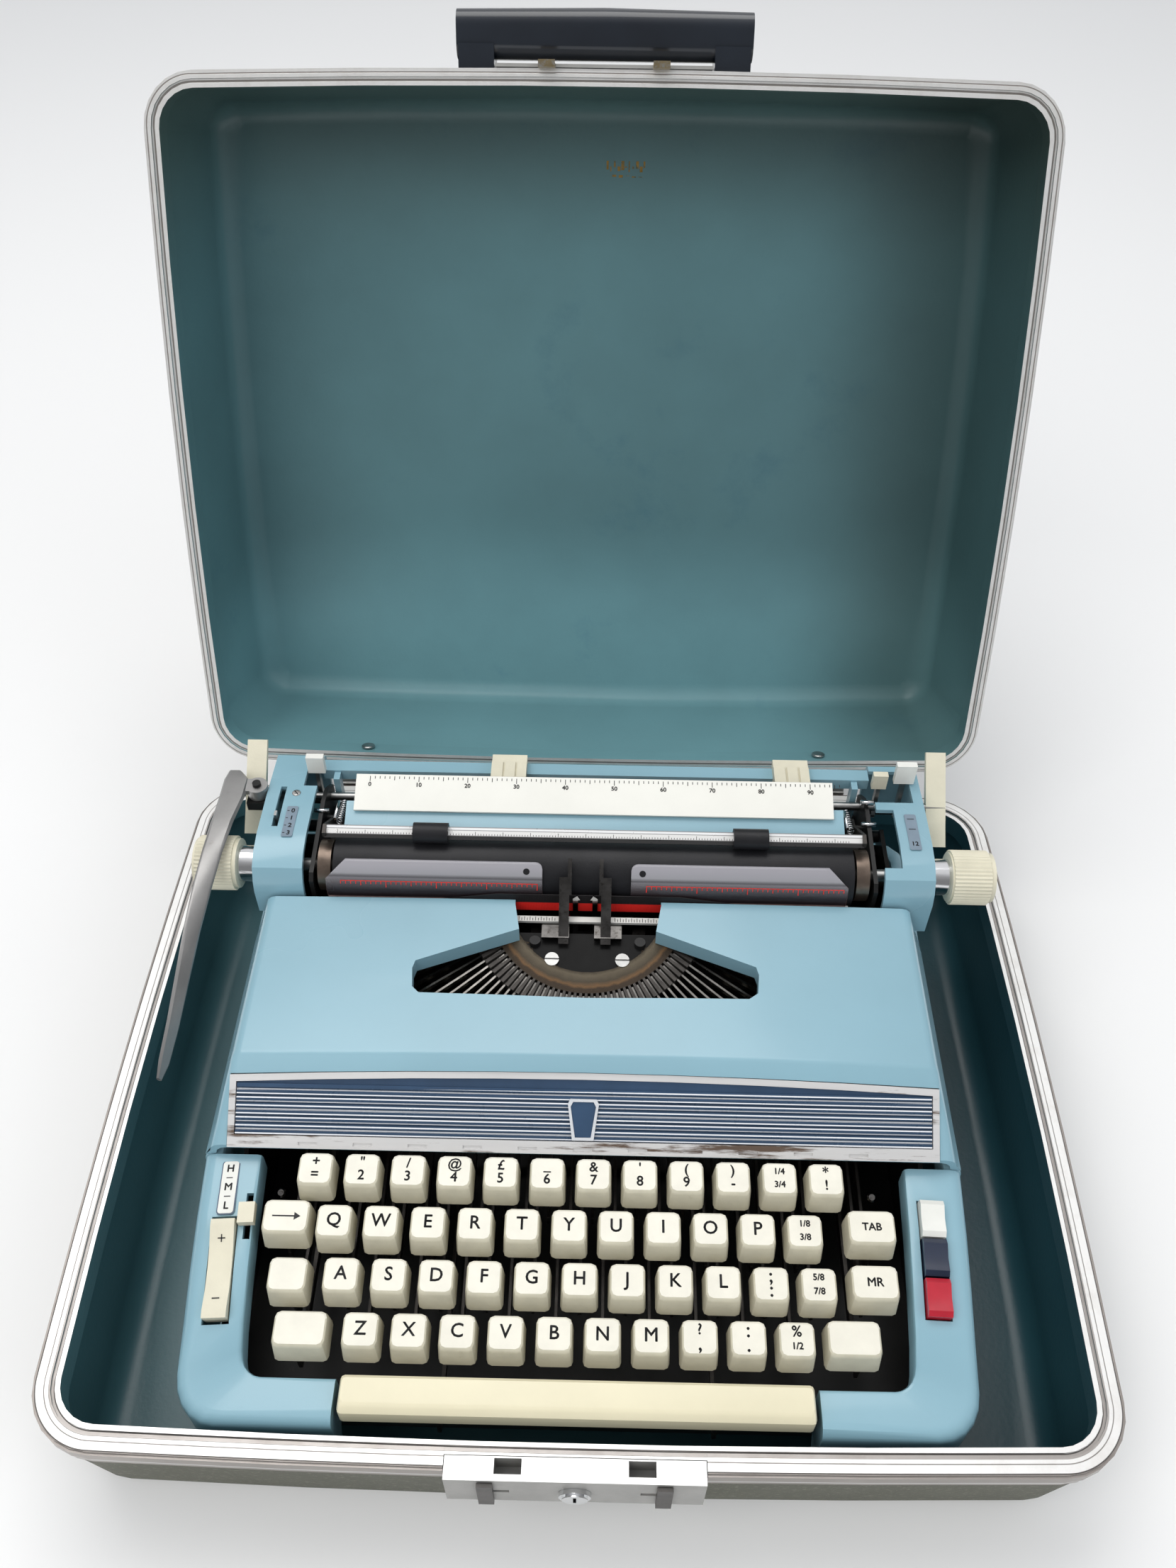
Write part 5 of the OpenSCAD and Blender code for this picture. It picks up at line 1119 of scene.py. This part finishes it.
ROCKER_REACH, ROCKER_RISE, ROCKER_SLOPE = 11.5, 2.72, 12
SIGN_HALF, STROKE_HALF = 1.5, 0.22
rocker = on_surround(-144.3, -107, LEFT_SKEW, 0)
rocker_up = rocker @ frame_at(0, ROCKER_REACH, ROCKER_RISE, ROCKER_SLOPE)
rocker_low = rocker @ frame_at(0, -ROCKER_REACH, ROCKER_RISE, -ROCKER_SLOPE)
arm = [(-SIGN_HALF, -STROKE_HALF), (-STROKE_HALF, -STROKE_HALF), (-STROKE_HALF, -SIGN_HALF)]
plus = [(x * c - y * d, x * d + y * c) for c, d in ((1, 0), (0, 1), (-1, 0), (0, -1)) for x, y in arm]
flat("rocker_plus", [plus], rocker_up, "tab_rocker", "control_black", INK_AND_SHADE)
flat("rocker_minus", dashes(SIGN_HALF, 0.25, (0,)), rocker_low, "tab_rocker", "control_black", INK_AND_SHADE)

# ---------------------------------------------------------------- scales along the carriage

# The white scale (mm): the slope of its face, and its marks from the first one, ending at MARKS_TOP.
SCALE_TILT = math.degrees(math.atan2(6.5, 17))
SCALE_ZERO = -106.4
SCALE_PITCH = 2.31
SCALE_COUNT = 97
MARKS_TOP = 17.2
scale_face = frame_at(CARRIAGE_X / MM, 88.6, 144.85, SCALE_TILT)
scale_marks = ticks(SCALE_COUNT, SCALE_PITCH, 10, -2.6, -1.3, 0.32, start=SCALE_ZERO, mid_every=5, mid_h=-2.0)
flat("scale_ticks", scale_marks, scale_face @ raised(0, MARKS_TOP), "carriage", "control_black", INK_AND_SHADE)
numbers = [(str(i), 2.9, scale_face @ raised(0.05, 13.0, SCALE_ZERO + i * SCALE_PITCH))
           for i in range(0, SCALE_COUNT, 10)]
lettering("scale_numbers", numbers, "carriage", "control_black", INK_AND_SHADE, bold=0.08)

HALF_PICA = 1.27
bail_face = frame_at(*(BAIL / MM), math.degrees(BAIL_TILT)) @ raised(0.62, -0.9)
flat("bail_ticks", ticks(186, HALF_PICA, 10, 1.7, 0.8, 0.22, start=-118), bail_face, "bail",
     "control_black", INK_AND_SHADE)


def on_drum(angle, radius):
    """Frame on a drum about the platen's axis: X along it, Z outwards, Y up round it."""
    a = math.radians(angle)
    place = PLATEN + Vector((0, math.cos(a) * radius * MM, math.sin(a) * radius * MM))
    return Matrix.Translation(place) @ Matrix.Rotation(a - math.pi / 2, 4, "X")


# Card plates: their edges (degrees round the platen), their faces' radii (mm), their inner corners' radius
# and how far their outer corners are cut back (mm along, degrees down).
CARD_TOP, CARD_LOW = 118, 196
CARD_IN, CARD_OUT = 15.3, 15.95
CARD_ROUND = 3.2
CARD_CUT, CARD_CUT_TURN = 9, 34
CARD_ROWS = 16
CARD_SPANS = [(-21.2, -120.5), (19.4, 118.6)]


def card_plates(spans):
    """Clear plates curved round the platen, their outer top corners cut back and inner ones rounded."""
    bm = bmesh.new()
    rows = CARD_ROWS
    for inner, outer in spans:
        step = 1 if outer > inner else -1
        reach = abs(outer - inner)
        stations = [0, 0.4, 1, 2, CARD_ROUND]
        stations += [4 + (reach - 16) * k / 8 for k in range(9)]
        stations += [reach - CARD_CUT, reach - 6, reach - 3, reach - 0.8, reach]
        grid = []
        for t in stations:
            top = CARD_TOP
            if t < CARD_ROUND:
                drop = CARD_ROUND - math.sqrt(CARD_ROUND**2 - (CARD_ROUND - t) ** 2)
                top += math.degrees(drop / CARD_OUT)
            if t > reach - CARD_CUT:
                top += (t - reach + CARD_CUT) / CARD_CUT * CARD_CUT_TURN
            angles = [math.radians(top + (CARD_LOW - top) * k / rows) for k in range(rows + 1)]
            x = inner + step * t
            grid.append([
                [bm.verts.new((x * MM, PLATEN.y + r * math.cos(a) * MM, PLATEN.z + r * math.sin(a) * MM))
                 for a in angles]
                for r in (CARD_IN, CARD_OUT)
            ])
        for a, b in zip(grid, grid[1:]):
            for layer in (0, 1):
                for k in range(rows):
                    bm.faces.new((a[layer][k], b[layer][k], b[layer][k + 1], a[layer][k + 1]))
            for k in (0, rows):
                bm.faces.new((a[0][k], b[0][k], b[1][k], a[1][k])).material_index = 1
        for end in (grid[0], grid[-1]):
            for k in range(rows):
                bm.faces.new((end[0][k], end[0][k + 1], end[1][k + 1], end[1][k])).material_index = 1
    bmesh.ops.recalc_face_normals(bm, faces=bm.faces)
    for face in bm.faces:
        face.smooth = face.material_index == 0
    mesh = bpy.data.meshes.new("card_plates_bowed")
    bm.to_mesh(mesh)
    bm.free()
    plates = build("card_plates_bowed", mesh, "carriage", "clear_plate", CLEAR_PAINTED_HIGHLIGHT, CLEAR_EDGE)
    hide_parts("card_plates")


card_plates(CARD_SPANS)
# The red scales on the card plates: on a frame turned upside down, so X runs to the left.
CARD_MARKS = 40
RED_W = 0.34
card_scale = on_drum(155, 16.06) @ Matrix.Rotation(math.pi, 4, "Z")
for side, start, pitch in (("left", 25.5, SCALE_PITCH), ("right", -24.5, -SCALE_PITCH)):
    marks = ticks(CARD_MARKS, pitch, 10, 3.1, 1.6, RED_W, start=start, mid_every=5, mid_h=2.2)
    low, high = sorted((start, start + (CARD_MARKS - 1) * pitch))
    marks.append(bar(low - RED_W / 2, -0.16, high + RED_W / 2, 0.16))
    flat(f"card_scale_{side}", marks, card_scale, "carriage", "control_red", INK_RED, 0.08)

HOLE_R, HOLE_SIDES = 1.5, 16
HOLES_AT = (-30.5, 22.6)
hole = [(HOLE_R * math.cos(math.tau * k / HOLE_SIDES), HOLE_R * math.sin(math.tau * k / HOLE_SIDES))
        for k in range(HOLE_SIDES)]
holes = [[(x + dx, dy) for dx, dy in hole] for x in HOLES_AT]
flat("card_holes", holes, on_drum(134, 15.99), "carriage", "control_black", INK_AND_SHADE)
line_marks = ticks(160, HALF_PICA, 2, 2.4, 1.6, 0.24, start=-101)
flat("line_scale_ticks", line_marks, on_drum(204, 16.04), "carriage", "control_black", INK_AND_SHADE)

STRIP_MARKS = 36
strip = frame_at(-1.4, 44.4, 120.62)
strip_marks = [mark for side in (-1, 1)
               for mark in ticks(STRIP_MARKS, HALF_PICA, 2, 2.2, 1.5, 0.3, start=side * 36 - 22.2)]
flat("card_strip_ticks", strip_marks, strip, "basket", "control_black", INK_AND_SHADE)

# ---------------------------------------------------------------- plates on the end covers


COVER_SLOPE = -0.8
PLATE_THICK, DASH_UP, WORD_UP = 0.2, 0.24, 0.26
SPACE_ROWS = [6.6 - 4.6 * i for i in range(4)]
left_plate = frame_at(-140.4, 83, 142.0, COVER_SLOPE)
flat("space_plate", [rounded(5.2, 19, 0.8)], left_plate, "carriage", "body_blue", NAVY_PLATE, PLATE_THICK)
space_words = [(str(i), 3.6, left_plate @ raised(WORD_UP, y, 0.5)) for i, y in enumerate(SPACE_ROWS)]
lettering("space_plate_legend", space_words, "carriage", "control_black", INK_AND_SHADE, bold=0.08)
space_dashes = dashes(0.5, 0.2, SPACE_ROWS, x=-1.7)
flat("space_plate_dashes", space_dashes, left_plate @ raised(DASH_UP), "carriage", "control_black", INK_AND_SHADE)
right_plate = frame_at(150.6, 84, 141.95, COVER_SLOPE)
flat("lever_plate", [rounded(5.4, 22, 0.8)], right_plate, "carriage", "body_blue", NAVY_PLATE, PLATE_THICK)
lever_words = [("12", 3.4, right_plate @ raised(WORD_UP, -7.4))]
lettering("lever_plate_legend", lever_words, "carriage", "control_black", INK_AND_SHADE, bold=0.08)
lever_dashes = dashes(1.6, 0.22, (8, 1.6))
flat("lever_plate_dashes", lever_dashes, right_plate @ raised(DASH_UP), "carriage", "control_black", INK_AND_SHADE)

# ---------------------------------------------------------------- makers of round pieces


def skin(bm, loops, smooth=False):
    """Joins loops of vertices, one after another, with faces."""
    for low, top in zip(loops, loops[1:]):
        count = len(low)
        for k in range(count):
            after = (k + 1) % count
            bm.faces.new((low[k], low[after], top[after], top[k])).smooth = smooth


# A screw head's outline from its foot, in shares of its radius and height, and its slot's size and turn.
DOME = [(1.0, 0.0), (1.0, 0.55), (0.86, 0.85), (0.55, 1.0)]
DISC_SIDES = 20
# The slot is a dark sheet laid just over the head, painted as the shade in it.
SLOT_W, SLOT_LENGTH = 0.14, 0.82
SLOT_UP = 1.03
SLOT_TURN = Matrix.Rotation(math.radians(40), 4, "Z")


def turned_disc(name, spots, body, slot, *mats, slotted=True):
    """Screw and rivet heads: spots are (frame, radius, height), domed, with a dark sheet across each screw painted
    as its slot's shade.
    """
    bm = bmesh.new()
    angles = [math.tau * k / DISC_SIDES for k in range(DISC_SIDES)]
    for place, radius, height in spots:
        loops = [
            [bm.verts.new(place @ (Vector((radius * r * math.cos(a), radius * r * math.sin(a), height * h)) * MM))
             for a in angles]
            for r, h in DOME
        ]
        skin(bm, loops)
        bm.faces.new(loops[-1])
        if slotted:
            w, h = SLOT_W * radius, SLOT_LENGTH * radius
            corners = [Vector((x, y, height * SLOT_UP)) * MM for x, y in bar(-w, -h, w, h)]
            bm.faces.new([bm.verts.new(place @ SLOT_TURN @ at) for at in corners]).material_index = 1
    mesh = bpy.data.meshes.new(name)
    bm.to_mesh(mesh)
    bm.free()
    return build(name, mesh, body, slot, *mats)


def rods(name, paths, body, slot, mat, sides=10):
    """Round wires and rods: paths are (radius, points) in millimetres."""
    bm = bmesh.new()
    for radius, points in paths:
        pts = [Vector(q) for q in points]
        loops = []
        for i, at in enumerate(pts):
            ahead = (pts[min(i + 1, len(pts) - 1)] - pts[max(i - 1, 0)]).normalized()
            side = ahead.orthogonal() if i == 0 else side - ahead * side.dot(ahead)
            side.normalize()
            up = ahead.cross(side)
            loops.append([bm.verts.new((at + side * radius * math.cos(a) + up * radius * math.sin(a)) * MM)
                          for a in [math.tau * k / sides for k in range(sides)]])
        skin(bm, loops, smooth=True)
        bm.faces.new(loops[0][::-1])
        bm.faces.new(loops[-1])
    mesh = bpy.data.meshes.new(name)
    bm.to_mesh(mesh)
    bm.free()
    return build(name, mesh, body, slot, mat)


COIL_STEPS = 10


def coil(start, end, radius, turns):
    """Points of a helix between two places in millimetres."""
    start, end = Vector(start), Vector(end)
    ahead = (end - start).normalized()
    side = ahead.orthogonal().normalized()
    up = ahead.cross(side)
    steps = turns * COIL_STEPS
    points = []
    for i in range(steps + 1):
        a = math.tau * i / COIL_STEPS
        points.append(start + (end - start) * i / steps + (side * math.cos(a) + up * math.sin(a)) * radius)
    return points


# ---------------------------------------------------------------- screws, rivets, pins


# The shut lid (mm): inside of its rear wall, height of its seam, inside of its panel. OPENED swings it open.
LID_WALL_Y = 162.2
LID_SEAM_Z = 70.4
LID_PANEL_Z = 156.15
OPENED = Matrix.Translation(HINGE) @ Matrix.Rotation(-OPEN, 4, "X") @ Matrix.Translation(-HINGE)


def on_lid_wall(x, h):
    """Frame on the lid's rear wall, inside, h above the seam."""
    return OPENED @ frame_at(x, LID_WALL_Y, LID_SEAM_Z + h, 90)


def on_lid_panel(x, y):
    """Frame on the lid's inner panel, at a place of the shut lid."""
    return OPENED @ frame_at(x, y, LID_PANEL_Z, 180)


def big_flake(i):
    left = 1.9 * i - 10
    low, high = -1.2 - 1.1 * math.sin(2.3 * i), 1.6 + 1.3 * math.cos(3.1 * i)
    return bar(left, low, left + 1.1 + 0.5 * math.sin(5 * i), high)


def small_flake(i):
    left = 3.4 * i - 7
    return bar(left, -4.6 + 0.5 * math.sin(4 * i), left + 2.1, -4.0 + 0.4 * math.cos(7 * i))


flakes = [big_flake(i) for i in range(11)] + [small_flake(i) for i in range(5)]
flat("worn_maker_mark", flakes, on_lid_panel(11.5, -131.9), "lid", "case_cloth", GOLD, 0.04)
turned_disc("hinge_rivets", [(on_lid_wall(side * 124.8, 6.6), 3.6, 1.2) for side in (-1, 1)], "lid",
            "hinge_metal", STEEL, DARK_STEEL, slotted=False)
turned_disc("cover_screw", [(frame_at(-140.5, 101.5, 141.3, -1.4), 2.0, 0.5)], "carriage", "lever_chrome",
            STEEL, INK_AND_SHADE)
turned_disc("well_pegs", [(frame_at(-128.6, -67.5, 72, 20), 2.4, 3),
                          (frame_at(124.0, -63.7, 72, 20), 2.4, 3)],
            "case", "lever_chrome", DARK_CHROME, INK_AND_SHADE, slotted=False)

rods("carriage_fittings", [
    (1.1, [(-131.2, 94, 137.5), (-124.2, 94, 137.5)]),
    (0.38, coil((-118.2, 86, 138.5), (-118.2, 102, 134.5), 1.5, 9)),
    (0.8, [(-119.9, 86, 141), (-119.9, 98, 139.6), (-119.9, 104, 133)]),
    (1.1, [(135.2, 92, 137.5), (128.2, 92, 137.5)]),
    (0.38, coil((122.4, 86, 138.5), (122.4, 102, 134.5), 1.5, 9)),
    (0.8, [(120.6, 86, 141), (120.6, 98, 139.6), (120.6, 104, 133)]),
    (1.3, [(135.2, 104, 139.5), (129.0, 104, 139.5)]),
], "carriage", "lever_chrome", CHROME)
